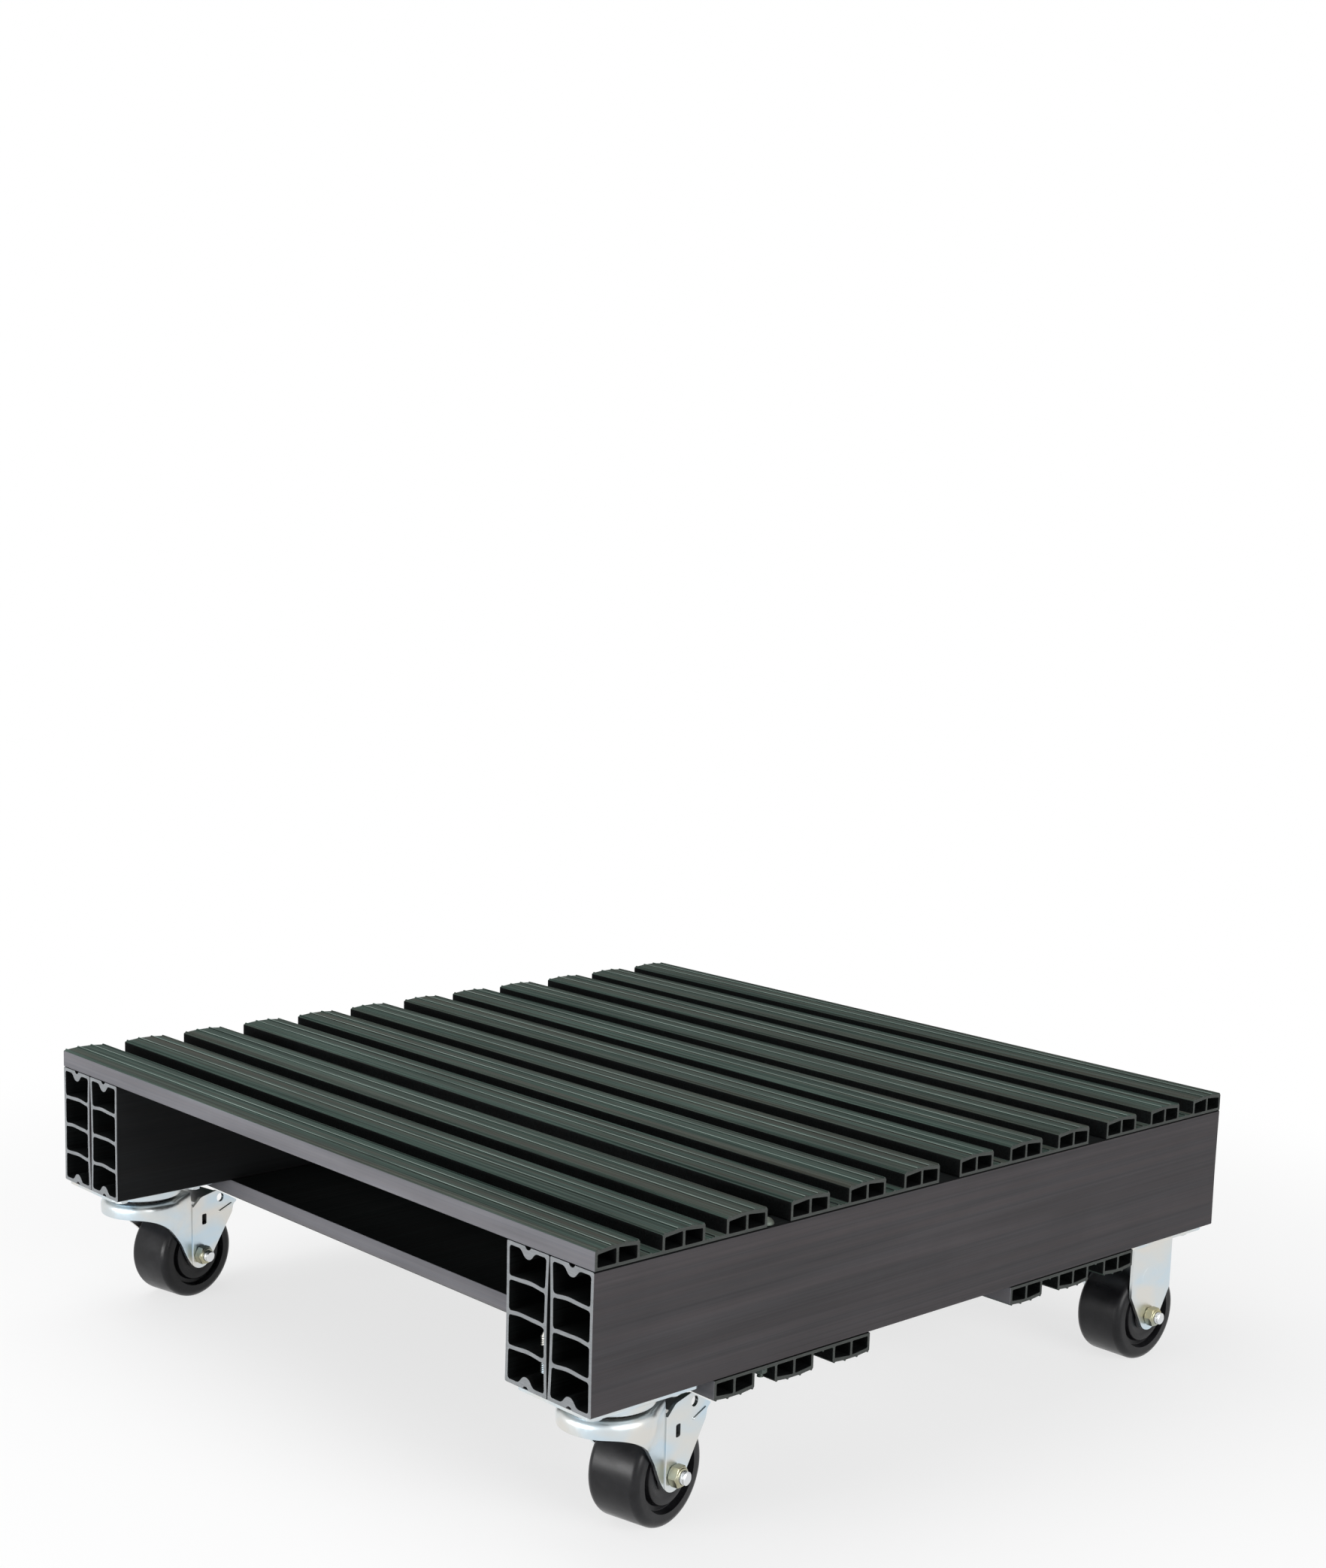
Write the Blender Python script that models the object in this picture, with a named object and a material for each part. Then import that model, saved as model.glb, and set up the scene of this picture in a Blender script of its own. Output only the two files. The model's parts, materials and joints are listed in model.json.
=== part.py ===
"""Square furniture dolly: slatted plastic deck on two hollow beams, two swivel and two rigid casters.

Metres, +Z up. The floor is Z = 0 and the origin is under the middle of the deck. The dolly rolls
along X: the swivel casters are at the rear (-X), the rigid ones at the front (+X), and the left
side is +Y.
"""
import math

import bmesh
import bpy
from mathutils import Matrix

# Clearances
SEAT = 0.0003                # gap between two pieces that rest on each other
RUNNING_GAP = 0.0005         # radial gap of a piece that turns on another
HOLE_GAP = 0.0004            # radial gap of a fastener in its hole

# Deck and bottom boards, one extrusion: bars with two cells each, joined by thin webs
BOARD_LENGTH = 0.9144        # along Y
BAR_WIDTH = 0.0515
BAR_HEIGHT = 0.0200
WEB_WIDTH = 0.0258           # between two bars of one board
BARS_PER_BOARD = 3
BOARD_WALL = 0.0034
WEB_THICKNESS = 0.0036
WEB_RIB_HEIGHT = 0.0012
WEB_RIB_WIDTH = 0.0024
RIDGE_HEIGHT = 0.0012
RIDGE_WIDTH = 0.0026
RIDGE_PLACES = (0.06, 0.35, 0.67, 0.96)   # middles of the ridges, as shares of the bar's width
DECK_BOARDS = 4
DECK_GAP = 0.0300            # between two deck boards

# Beams, each of two hollow planks on edge
BEAM_HEIGHT = 0.1310
PLANK_WIDTH = 0.05845
PLANK_SEAM = 0.0006
PLANK_WALL = 0.0041
PLANK_WEB = 0.0043
PLANK_CELLS = 4
PLANK_CORNER = 0.0015
CELL_FILLET = 0.0022
WEB_SAG = 0.0012             # how far a web hangs at mid width
SEAM_HOLLOW = 0.0007         # how far a plank's seam side draws in at mid height
GROOVE_RADIUS = 0.0040
GROOVE_DEPTH = 0.0028
BEAD_RADIUS = 0.0078         # half-round bead inside the top and bottom walls

# Caster plates and their screws
PLATE_LENGTH = 0.1302        # along X
PLATE_WIDTH = 0.1016
PLATE_THICKNESS = 0.0040
PLATE_CORNER = 0.0070
PLATE_SIDE_INSET = 0.0035    # from the beam's outer side
SWIVEL_INSET = 0.0020        # from the beam's rear end
RIGID_INSET = 0.0120         # from the beam's front end
PLATE_TO_BOARD = 0.0035      # between a rigid plate and the bottom board beside it
SCREW_END_EDGE = 0.0191      # from the plate's ends to a screw's middle
SCREW_SIDE_EDGE = 0.0175
SLOT_INWARD = 0.0079         # how far a slot runs on from the screw, along X
SLOT_OUTWARD = 0.0048        # and along Y
SCREW_RADIUS = 0.0040
SCREW_LENGTH = 0.0520        # above the plate
SCREW_HEAD_FLATS = 0.0143
SCREW_HEAD_HEIGHT = 0.0062

# Round-head bolts and lag screws that hold the bottom boards
BOLT_RADIUS = 0.0032
BOLT_HEAD_RADIUS = 0.0078
BOLT_HEAD_HEIGHT = 0.0062
BOLT_HEAD_GAP = 0.0008       # between the head and the deck board beside it
BOLT_EDGE = 0.0105           # from the beam's outer side
BOLT_OFF_WEB = 0.0046        # how far the bolt stands in front of its web's middle
BOLT_NUT_FLATS = 0.0111
BOLT_NUT_HEIGHT = 0.0056
BOLT_TAIL = 0.0040
LAG_LENGTH = 0.0500

# Wheels and axles
WHEEL_DIAMETER = 0.1040
TREAD_WIDTH = 0.0508
TREAD_SHOULDER = 0.0080
RIM_WIDTH = 0.0060           # between the shoulder and the groove in the wheel's side
SIDE_GROOVE_WIDTH = 0.0080
SIDE_GROOVE_DEPTH = 0.0075
SIDE_DRAFT = 0.0015          # how far the groove's and the hub's walls lean
DISC_INSET = 0.0012          # from the rim's face to the disc inside the groove
HUB_RADIUS = 0.0150
SLEEVE_RADIUS = 0.0090
AXLE_RADIUS = 0.00635
AXLE_HEAD_FLATS = 0.0190
AXLE_HEAD_HEIGHT = 0.0080
AXLE_NUT_HEIGHT = 0.0110
AXLE_TAIL = 0.0050
AXLE_DROP = 0.0950           # from the plate's top to the axle

# Legs of brackets and forks
LEG_THICKNESS = 0.0035
FORK_WIDTH = 0.0660          # over the outsides of the legs
FOOT_RADIUS = 0.0165         # of a leg's round lower end
HUB_GAP = 0.0008             # between the hub and each leg
RIGID_LEG_WIDTH = 0.0700
RIGID_LEG_STRAIGHT = 0.0680  # plate top to where the leg starts to narrow

# Swivel bearing, with heights down from the plate's top
RACE_RADIUS = 0.0440
RACE_BOTTOM = 0.0142
RACE_EDGE = 0.0025           # radius of the race's lower edge
BEARING_GAP = 0.0036         # between the race and the fork's crown
BALL_RADIUS = 0.0030
BALL_CIRCLE = 0.0340
KINGPIN_RADIUS = 0.0065
KINGPIN_HEAD_RADIUS = 0.0130
KINGPIN_HEAD_HEIGHT = 0.0070
KINGPIN_HEAD_EDGE = 0.0020

# Swivel fork: places back from the kingpin's axis, and drops from the plate's top
TRAIL = 0.0580               # kingpin axis to axle
SWIVEL_ANGLE = math.radians(11)   # how far both swivel casters stand turned to the left
CROWN_RADIUS = 0.0465
CROWN_SHOULDER = 0.0080
SKIRT_BOTTOM = 0.0345
SKIRT_END = 0.0380           # in front of the axis, where the skirt's edge starts to run down
SKIRT_SWEEP = 0.0240         # how gently it starts
FLARE_X = 0.0250             # a point on the flare's front edge
FLARE_DROP = 0.0730
FLARE_RADIUS = 0.0360        # half the fork's width there, round the kingpin's axis
FLARE_SLOPE = math.radians(50)
FLARE_SWEEP_UP = 0.0235      # how straight the edge runs at that point, up and down
FLARE_SWEEP_DOWN = 0.0125
FOOT_SWEEP = 0.0160
FOOT_START = math.radians(140)    # under the axle's level, where the foot turns into the flare
FOLD_X = 0.0455              # where the flare turns into the flat leg
FOLD_DROP = 0.0380
CROWN_REAR = 0.0400          # the crown's top ends here between the legs
LEG_TOP_X = 0.0830
LEG_TOP_DROP = 0.0240
LEG_TIP_X = 0.1145
LEG_TIP_DROP = 0.0425
LEG_NOTCH_X = 0.1085
LEG_NOTCH_DROP = 0.0460
LEG_REAR_X = 0.1064
LEG_REAR_DROP = 0.0552
LEG_HOLE_X = 0.0879
LEG_HOLE_DROP = 0.0338
LEG_HOLE_RADIUS = 0.0052
LEG_SLOT_X = 0.0632
LEG_SLOT_DROP = 0.0545
LEG_SLOT_HEIGHT = 0.0120
LEG_SLOT_WIDTH = 0.0040
ROOF_FRONT_X = 0.0565        # front edge of the sheet between the legs' upper edges
ROOF_SINK = 0.0008           # the sheet lies this far inside those edges

WHEEL_SEGMENTS = 32
ROUND_SEGMENTS = 24
BOLT_SEGMENTS = 12
SHARP_ANGLE = math.radians(35)

# Sizes that follow from the ones above
BOARD_WIDTH = BARS_PER_BOARD * BAR_WIDTH + (BARS_PER_BOARD - 1) * WEB_WIDTH
BEAM_LENGTH = DECK_BOARDS * BOARD_WIDTH + (DECK_BOARDS - 1) * DECK_GAP
BOARD_HEIGHT = BAR_HEIGHT + RIDGE_HEIGHT
BEAM_WIDTH = 2 * PLANK_WIDTH + PLANK_SEAM
MOUNT_HEIGHT = AXLE_DROP + WHEEL_DIAMETER / 2
BEAM_BOTTOM = MOUNT_HEIGHT + SEAT
BEAM_TOP = BEAM_BOTTOM + BEAM_HEIGHT
DECK_BOTTOM = BEAM_TOP + SEAT
BEAM_SIDE = BOARD_LENGTH / 2
SWIVEL_X = -BEAM_LENGTH / 2 + SWIVEL_INSET + PLATE_LENGTH / 2
RIGID_X = BEAM_LENGTH / 2 - RIGID_INSET - PLATE_LENGTH / 2
CASTER_Y = BEAM_SIDE - PLATE_SIDE_INSET - PLATE_WIDTH / 2
SCREW_X = PLATE_LENGTH / 2 - SCREW_END_EDGE
SCREW_Y = PLATE_WIDTH / 2 - SCREW_SIDE_EDGE
LEG_OUTSIDE = FORK_WIDTH / 2
LEG_INSIDE = LEG_OUTSIDE - LEG_THICKNESS
HUB_HALF = LEG_INSIDE - HUB_GAP
CROWN_TOP = RACE_BOTTOM + BEARING_GAP
BALL_DROP = RACE_BOTTOM + BEARING_GAP / 2
WEB_TO_BOARD = (BAR_WIDTH + WEB_WIDTH) / 2    # from a web's middle to its board's
PLATE_TO_MIDDLE = PLATE_TO_BOARD + BOARD_WIDTH / 2
BOLT_X = -BEAM_LENGTH / 2 + BOARD_WIDTH + BOLT_HEAD_GAP + BOLT_HEAD_RADIUS
# The rear board's web takes the bolts, unless the caster plates push that board further in
REAR_BOARD_X = max(BOLT_X - BOLT_OFF_WEB + WEB_TO_BOARD, SWIVEL_X + PLATE_LENGTH / 2 + PLATE_TO_MIDDLE)
FRONT_BOARD_X = RIGID_X - PLATE_LENGTH / 2 - PLATE_TO_MIDDLE
LAG_X = FRONT_BOARD_X - WEB_TO_BOARD
LAG_EDGE = PLANK_WIDTH / 2

# Maps from a profile's (across, up, along) to the object's axes
ALONG_X = Matrix(((0, 0, 1, 0), (1, 0, 0, 0), (0, 1, 0, 0), (0, 0, 0, 1)))
ALONG_Y = Matrix(((1, 0, 0, 0), (0, 0, 1, 0), (0, 1, 0, 0), (0, 0, 0, 1)))
ALONG_Z = Matrix.Identity(4)
TURN_TO_Y = Matrix.Rotation(math.radians(90), 4, "X")


# ---------------------------------------------------------------- scene, materials, objects

def clear_scene():
    for item in list(bpy.data.objects):
        bpy.data.objects.remove(item)


def make_material(name, colour, roughness, metallic):
    material = bpy.data.materials.new(name)
    material.use_nodes = True
    shader = material.node_tree.nodes["Principled BSDF"]
    shader.inputs["Base Color"].default_value = (*colour, 1)
    shader.inputs["Roughness"].default_value = roughness
    shader.inputs["Metallic"].default_value = metallic
    return material


def make_mesh(name, bm):
    bmesh.ops.recalc_face_normals(bm, faces=bm.faces)
    mesh = bpy.data.meshes.new(name)
    bm.to_mesh(mesh)
    bm.free()
    mesh.shade_smooth()
    mesh.set_sharp_from_angle(angle=SHARP_ANGLE)
    return mesh


def place(name, mesh, material=None, location=(0, 0, 0), parent=None, angle=0.0):
    """A new object; copies share a mesh and its material."""
    item = bpy.data.objects.new(name, mesh)
    bpy.context.collection.objects.link(item)
    if material and not mesh.materials:
        mesh.materials.append(material)
    item.location = location
    item.rotation_euler = (0, 0, angle)
    item.parent = parent
    return item


def make_empty(name, location, parent=None, angle=0.0):
    empty = bpy.data.objects.new(name, None)
    bpy.context.collection.objects.link(empty)
    empty.location = location
    empty.rotation_euler = (0, 0, angle)
    empty.parent = parent
    return empty


def cut(item, mesh, operation="DIFFERENCE"):
    """Boolean `mesh`, in the item's own frame, against the item."""
    tool = bpy.data.objects.new(item.name + "_" + mesh.name, mesh)
    bpy.context.collection.objects.link(tool)
    tool.parent = item
    tool.hide_render = True
    tool.display_type = "WIRE"
    modifier = item.modifiers.new(mesh.name, "BOOLEAN")
    modifier.operation = operation
    modifier.solver = "EXACT"
    modifier.object = tool


def baked(item, name):
    """The item's evaluated mesh; the item and its cutters are removed."""
    bpy.context.view_layer.update()
    evaluated = item.evaluated_get(bpy.context.evaluated_depsgraph_get())
    mesh = bpy.data.meshes.new_from_object(evaluated)
    mesh.name = name
    mesh.set_sharp_from_angle(angle=SHARP_ANGLE)
    for child in list(item.children):
        bpy.data.objects.remove(child)
    bpy.data.objects.remove(item)
    return mesh


# ---------------------------------------------------------------- outlines and solids

def arc(x, y, radius, start, end, steps):
    """Points on a circular arc; the angles are in degrees."""
    angles = [math.radians(start + (end - start) * i / steps) for i in range(steps + 1)]
    return [(x + radius * math.cos(a), y + radius * math.sin(a)) for a in angles]


def bezier(start, first, second, end, steps):
    """Points on a cubic curve, without its start."""
    points = []
    for i in range(1, steps + 1):
        t = i / steps
        weights = ((1 - t) ** 3, 3 * t * (1 - t) ** 2, 3 * t ** 2 * (1 - t), t ** 3)
        corners = (start, first, second, end)
        points.append(tuple(sum(w * c[axis] for w, c in zip(weights, corners)) for axis in (0, 1)))
    return points


def rounded_rectangle(left, right, bottom, top, radius, steps):
    return (arc(right - radius, bottom + radius, radius, -90, 0, steps)
            + arc(right - radius, top - radius, radius, 0, 90, steps)
            + arc(left + radius, top - radius, radius, 90, 180, steps)
            + arc(left + radius, bottom + radius, radius, 180, 270, steps))


def circle(x, y, radius, segments):
    return arc(x, y, radius, 0, 360, segments)[:-1]


def prism(name, outline, holes, start, end, axes):
    """A straight solid over an outline with holes, from start to end along its third axis."""
    bm = bmesh.new()
    edges = []
    for loop in [outline] + holes:
        verts = [bm.verts.new((across, up, start)) for across, up in loop]
        edges += [bm.edges.new((verts[i - 1], verts[i])) for i in range(len(verts))]
    bmesh.ops.triangle_fill(bm, use_beauty=True, edges=edges, normal=(0, 0, 1))
    grown = bmesh.ops.extrude_face_region(bm, geom=bm.faces[:])
    moved = [v for v in grown["geom"] if isinstance(v, bmesh.types.BMVert)]
    bmesh.ops.translate(bm, vec=(0, 0, end - start), verts=moved)
    bmesh.ops.transform(bm, matrix=axes, verts=bm.verts)
    return make_mesh(name, bm)


def turned(name, profile, segments, axes=ALONG_Z):
    """A ring turned about Z from a closed profile of (radius, height) points.

    Its facets face along the axes, so that a wheel stands on a facet.
    """
    bm = bmesh.new()
    verts = [bm.verts.new((radius, 0, height)) for radius, height in profile]
    edges = [bm.edges.new((verts[i - 1], verts[i])) for i in range(len(verts))]
    bmesh.ops.spin(bm, geom=verts + edges, cent=(0, 0, 0), axis=(0, 0, 1), dvec=(0, 0, 0),
                   angle=2 * math.pi, steps=segments, use_merge=True)
    half_facet = Matrix.Rotation(math.pi / segments, 4, "Z")
    bmesh.ops.transform(bm, matrix=axes @ half_facet, verts=bm.verts)
    return make_mesh(name, bm)


def round_ring(radius, height):
    return [(x, y, height) for x, y in circle(0, 0, radius, BOLT_SEGMENTS)]


def hexagon_ring(flats, height):
    """A hexagon with as many points as a round ring, so that the two can be joined."""
    points = []
    for i in range(BOLT_SEGMENTS):
        angle = 2 * math.pi * i / BOLT_SEGMENTS
        radius = flats / 2 / math.cos(angle % (math.pi / 3) - math.pi / 6)
        points.append((radius * math.cos(angle), radius * math.sin(angle), height))
    return points


def stacked(name, rings, axes=ALONG_Z):
    """A solid through rings of equal count, from the lowest to the highest."""
    bm = bmesh.new()
    rows = [[bm.verts.new(point) for point in ring] for ring in rings]
    for lower, upper in zip(rows, rows[1:]):
        for i in range(len(lower)):
            bm.faces.new((lower[i - 1], lower[i], upper[i], upper[i - 1]))
    bm.faces.new(rows[0][::-1])
    bm.faces.new(rows[-1])
    bmesh.ops.transform(bm, matrix=axes, verts=bm.verts)
    return make_mesh(name, bm)


def joined(name, meshes):
    """Several closed cutters in one mesh; they don't touch each other."""
    bm = bmesh.new()
    for mesh in meshes:
        bm.from_mesh(mesh)
    return make_mesh(name, bm)


# ---------------------------------------------------------------- boards

def bar_top(left):
    """The ridged top of one bar, from its right side to its left side."""
    right = left + BAR_WIDTH
    slope = RIDGE_WIDTH / 4
    points = [(right, BAR_HEIGHT - slope), (right - slope, BAR_HEIGHT)]
    for place_share in reversed(RIDGE_PLACES):
        middle = left + place_share * BAR_WIDTH
        points += [(middle + RIDGE_WIDTH / 2 - slope / 4, BAR_HEIGHT), (middle + slope, BOARD_HEIGHT),
                   (middle - slope, BOARD_HEIGHT), (middle - RIDGE_WIDTH / 2 + slope / 4, BAR_HEIGHT)]
    return points + [(left + slope, BAR_HEIGHT), (left, BAR_HEIGHT - slope)]


def board_outline():
    """The board's cut end: across from 0 to BOARD_WIDTH, its flat underside at 0."""
    points = [(0, 0), (BOARD_WIDTH, 0)]
    for bar in reversed(range(BARS_PER_BOARD)):
        left = bar * (BAR_WIDTH + WEB_WIDTH)
        points += bar_top(left)
        if bar:
            middle = left - WEB_WIDTH / 2
            half = WEB_RIB_WIDTH / 2
            points += [(left, WEB_THICKNESS), (middle + half, WEB_THICKNESS),
                       (middle + half / 2, WEB_THICKNESS + WEB_RIB_HEIGHT),
                       (middle - half / 2, WEB_THICKNESS + WEB_RIB_HEIGHT),
                       (middle - half, WEB_THICKNESS), (left - WEB_WIDTH, WEB_THICKNESS)]
    return points


def board_cells():
    cells = []
    cell_width = (BAR_WIDTH - 3 * BOARD_WALL) / 2
    for bar in range(BARS_PER_BOARD):
        for cell in range(2):
            left = bar * (BAR_WIDTH + WEB_WIDTH) + BOARD_WALL + cell * (cell_width + BOARD_WALL)
            right = left + cell_width
            cells.append([(left, BOARD_WALL), (right, BOARD_WALL),
                          (right, BAR_HEIGHT - BOARD_WALL), (left, BAR_HEIGHT - BOARD_WALL)])
    return cells


def add_boards(plastic):
    """Deck boards with their ridges up, and two bottom boards hung upside down under the beams."""
    half = BOARD_LENGTH / 2
    deck_mesh = prism("deck_board", board_outline(), board_cells(), -half, half, ALONG_Y)
    for i in range(DECK_BOARDS):
        left = -BEAM_LENGTH / 2 + i * (BOARD_WIDTH + DECK_GAP)
        place(f"deck_board_{i + 1}", deck_mesh, plastic, (left, 0, DECK_BOTTOM))
    upside_down = Matrix.Diagonal((1, 1, -1, 1)) @ ALONG_Y
    under_mesh = prism("bottom_board", board_outline(), board_cells(), -half, half, upside_down)
    for end, middle, x, edge in (("rear", REAR_BOARD_X, BOLT_X, BOLT_EDGE),
                                 ("front", FRONT_BOARD_X, LAG_X, LAG_EDGE)):
        left = middle - BOARD_WIDTH / 2
        board = place(f"bottom_board_{end}", under_mesh, plastic, (left, 0, MOUNT_HEIGHT))
        drills = [drill(f"hole_{side}", x - left, side * (BEAM_SIDE - edge), BOLT_RADIUS,
                        -2 * BOARD_HEIGHT, BOARD_HEIGHT) for side in (-1, 1)]
        cut(board, joined("fastener_holes", drills))


def drill(name, x, y, radius, bottom, top):
    """A cutter for a fastener's hole, a clearance wider than the fastener."""
    return prism(name, circle(x, y, radius + HOLE_GAP, BOLT_SEGMENTS), [], bottom, top, ALONG_Z)


# ---------------------------------------------------------------- beams

def groove(middle, level, direction):
    """A shallow round groove in a flat wall; direction is +1 for the bottom wall, -1 for the top.

    The bottom one runs left to right and the top one right to left, as the outline does.
    """
    centre = level - direction * (GROOVE_RADIUS - GROOVE_DEPTH)
    reach = math.degrees(math.asin((GROOVE_RADIUS - GROOVE_DEPTH) / GROOVE_RADIUS))
    start, end = (180 - reach, reach) if direction > 0 else (-reach, reach - 180)
    return arc(middle, centre, GROOVE_RADIUS, start, end, 2)


def plank_outline():
    """The plank's cut end; the seam side is at across = PLANK_WIDTH."""
    middle = PLANK_WIDTH / 2
    wall = [(PLANK_WIDTH - SEAM_HOLLOW * math.sin(math.pi * i / 4), BEAM_HEIGHT * i / 4) for i in range(1, 4)]
    return (groove(middle, 0, 1)
            + arc(PLANK_WIDTH - PLANK_CORNER, PLANK_CORNER, PLANK_CORNER, -90, 0, 1)
            + wall
            + arc(PLANK_WIDTH - PLANK_CORNER, BEAM_HEIGHT - PLANK_CORNER, PLANK_CORNER, 0, 90, 1)
            + groove(middle, BEAM_HEIGHT, -1)
            + arc(PLANK_CORNER, BEAM_HEIGHT - PLANK_CORNER, PLANK_CORNER, 90, 180, 1)
            + arc(PLANK_CORNER, PLANK_CORNER, PLANK_CORNER, 180, 270, 1))


def cell_side(level, direction, bead):
    """The lower (+1) or upper (-1) side of a cell, left to right: a sagging web or a beaded wall."""
    left, right = PLANK_WALL + CELL_FILLET, PLANK_WIDTH - PLANK_WALL - CELL_FILLET
    if bead:
        start, end = (180, 0) if direction > 0 else (-180, 0)
        return arc(PLANK_WIDTH / 2, level, BEAD_RADIUS, start, end, 4)
    shares = (0.3, 0.7)
    return [(left + share * (right - left), level - WEB_SAG * math.sin(math.pi * share)) for share in shares]


def plank_cells():
    cells = []
    height = (BEAM_HEIGHT - 2 * PLANK_WALL - (PLANK_CELLS - 1) * PLANK_WEB) / PLANK_CELLS
    left, right, fillet = PLANK_WALL, PLANK_WIDTH - PLANK_WALL, CELL_FILLET
    for cell in range(PLANK_CELLS):
        low = PLANK_WALL + cell * (height + PLANK_WEB)
        high = low + height
        cells.append(arc(left + fillet, low + fillet, fillet, 180, 270, 1)
                     + cell_side(low, 1, cell == 0)
                     + arc(right - fillet, low + fillet, fillet, -90, 0, 1)
                     + arc(right - fillet, high - fillet, fillet, 0, 90, 1)
                     + cell_side(high, -1, cell == PLANK_CELLS - 1)[::-1]
                     + arc(left + fillet, high - fillet, fillet, 90, 180, 1))
    return cells


def add_beams(plastic):
    half = BEAM_LENGTH / 2
    for side_name, side in (("right", -1), ("left", 1)):
        for plank_name, inward in (("outer", 0.0), ("inner", PLANK_WIDTH + PLANK_SEAM)):
            seam_side = 1 if plank_name == "outer" else -1
            flip = Matrix.Diagonal((1, -side * seam_side, 1, 1))
            mesh = prism(f"{side_name}_{plank_name}", plank_outline(), plank_cells(), -half, half,
                         flip @ ALONG_X)
            start = BEAM_SIDE - inward if seam_side > 0 else BEAM_SIDE - inward - PLANK_WIDTH
            plank = place(f"{side_name}_beam_{plank_name}_plank", mesh, plastic,
                          (0, side * start, BEAM_BOTTOM))
            cut(plank, joined("fastener_holes", plank_drills(side, side * start, plank_name)))


def plank_drills(side, plank_y, plank_name):
    """Cutters for the screws and bolts that go up into one plank, in the plank's frame."""
    screw_y = SCREW_Y if plank_name == "outer" else -SCREW_Y
    drills = []
    for caster_x in (SWIVEL_X, RIGID_X):
        for screw_x in (-SCREW_X, SCREW_X):
            drills.append(drill("screw", caster_x + screw_x, side * (CASTER_Y + screw_y) - plank_y,
                                SCREW_RADIUS, -PLANK_WALL, SCREW_LENGTH + PLANK_WALL))
    if plank_name == "outer":
        drills.append(drill("bolt", BOLT_X, side * (BEAM_SIDE - BOLT_EDGE) - plank_y,
                            BOLT_RADIUS, -PLANK_WALL, BEAM_HEIGHT + PLANK_WALL))
        drills.append(drill("lag", LAG_X, side * (BEAM_SIDE - LAG_EDGE) - plank_y,
                            BOLT_RADIUS, -PLANK_WALL, LAG_LENGTH + PLANK_WALL))
    return drills


# ---------------------------------------------------------------- fasteners of the frame

def add_board_fasteners(zinc):
    """Round-head bolts down through beam and rear bottom board, lag screws up through the front one."""
    web_face = -WEB_THICKNESS - WEB_RIB_HEIGHT - SEAT
    nut_bottom = web_face - BOLT_NUT_HEIGHT
    top = BEAM_HEIGHT + 2 * SEAT
    dome = [round_ring(BOLT_HEAD_RADIUS * math.cos(math.radians(a)),
                       top + BOLT_HEAD_HEIGHT * math.sin(math.radians(a))) for a in (0, 35, 68)]
    bolt_mesh = stacked("bolt", [round_ring(BOLT_RADIUS, nut_bottom - BOLT_TAIL),
                                 round_ring(BOLT_RADIUS, nut_bottom),
                                 hexagon_ring(BOLT_NUT_FLATS, nut_bottom),
                                 hexagon_ring(BOLT_NUT_FLATS, web_face),
                                 round_ring(BOLT_RADIUS, web_face),
                                 round_ring(BOLT_RADIUS, top)] + dome)
    lag_mesh = stacked("lag", [hexagon_ring(BOLT_NUT_FLATS, nut_bottom),
                               hexagon_ring(BOLT_NUT_FLATS, web_face),
                               round_ring(BOLT_RADIUS, web_face),
                               round_ring(BOLT_RADIUS, LAG_LENGTH - BOLT_RADIUS),
                               round_ring(BOLT_RADIUS / 4, LAG_LENGTH)])
    for side_name, side in (("right", -1), ("left", 1)):
        place(f"{side_name}_board_bolt", bolt_mesh, zinc,
              (BOLT_X, side * (BEAM_SIDE - BOLT_EDGE), MOUNT_HEIGHT))
        place(f"{side_name}_board_lag_screw", lag_mesh, zinc,
              (LAG_X, side * (BEAM_SIDE - LAG_EDGE), MOUNT_HEIGHT))


def screw_mesh():
    """Hex-head screw; its origin is at the plate's top face, its head hangs under the plate."""
    head_top = -PLATE_THICKNESS - SEAT
    return stacked("screw", [hexagon_ring(SCREW_HEAD_FLATS, head_top - SCREW_HEAD_HEIGHT),
                             hexagon_ring(SCREW_HEAD_FLATS, head_top),
                             round_ring(SCREW_RADIUS, head_top),
                             round_ring(SCREW_RADIUS, SCREW_LENGTH - SCREW_RADIUS),
                             round_ring(SCREW_RADIUS / 4, SCREW_LENGTH)])


def add_screws(corner, mesh, zinc, parent):
    number = 0
    for x in (-SCREW_X, SCREW_X):
        for y in (-SCREW_Y, SCREW_Y):
            number += 1
            place(f"{corner}_screw_{number}", mesh, zinc, (x, y, 0), parent)


# ---------------------------------------------------------------- wheels and axles

def wheel_profile():
    """Half of it is listed, from the bore out to the middle of the tread, and then mirrored.

    The tread's facets, not their edges, lie on the wheel's true circle, so it rests at its height.
    """
    radius = WHEEL_DIAMETER / 2 / math.cos(math.pi / WHEEL_SEGMENTS)
    bore = SLEEVE_RADIUS + RUNNING_GAP
    tread_half = TREAD_WIDTH / 2
    shoulder = arc(radius - TREAD_SHOULDER, tread_half - TREAD_SHOULDER, TREAD_SHOULDER, 90, 0, 2)
    rim = WHEEL_DIAMETER / 2 - TREAD_SHOULDER - RIM_WIDTH
    disc, disc_half = rim - SIDE_GROOVE_WIDTH, tread_half - DISC_INSET
    groove_half = tread_half - SIDE_GROOVE_DEPTH
    half = ([(bore, HUB_HALF), (HUB_RADIUS, HUB_HALF), (HUB_RADIUS + SIDE_DRAFT, disc_half),
             (disc, disc_half), (disc + SIDE_DRAFT, groove_half), (rim - SIDE_DRAFT, groove_half),
             (rim, tread_half)] + shoulder)
    return half + [(radial, -height) for radial, height in reversed(half)]


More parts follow.
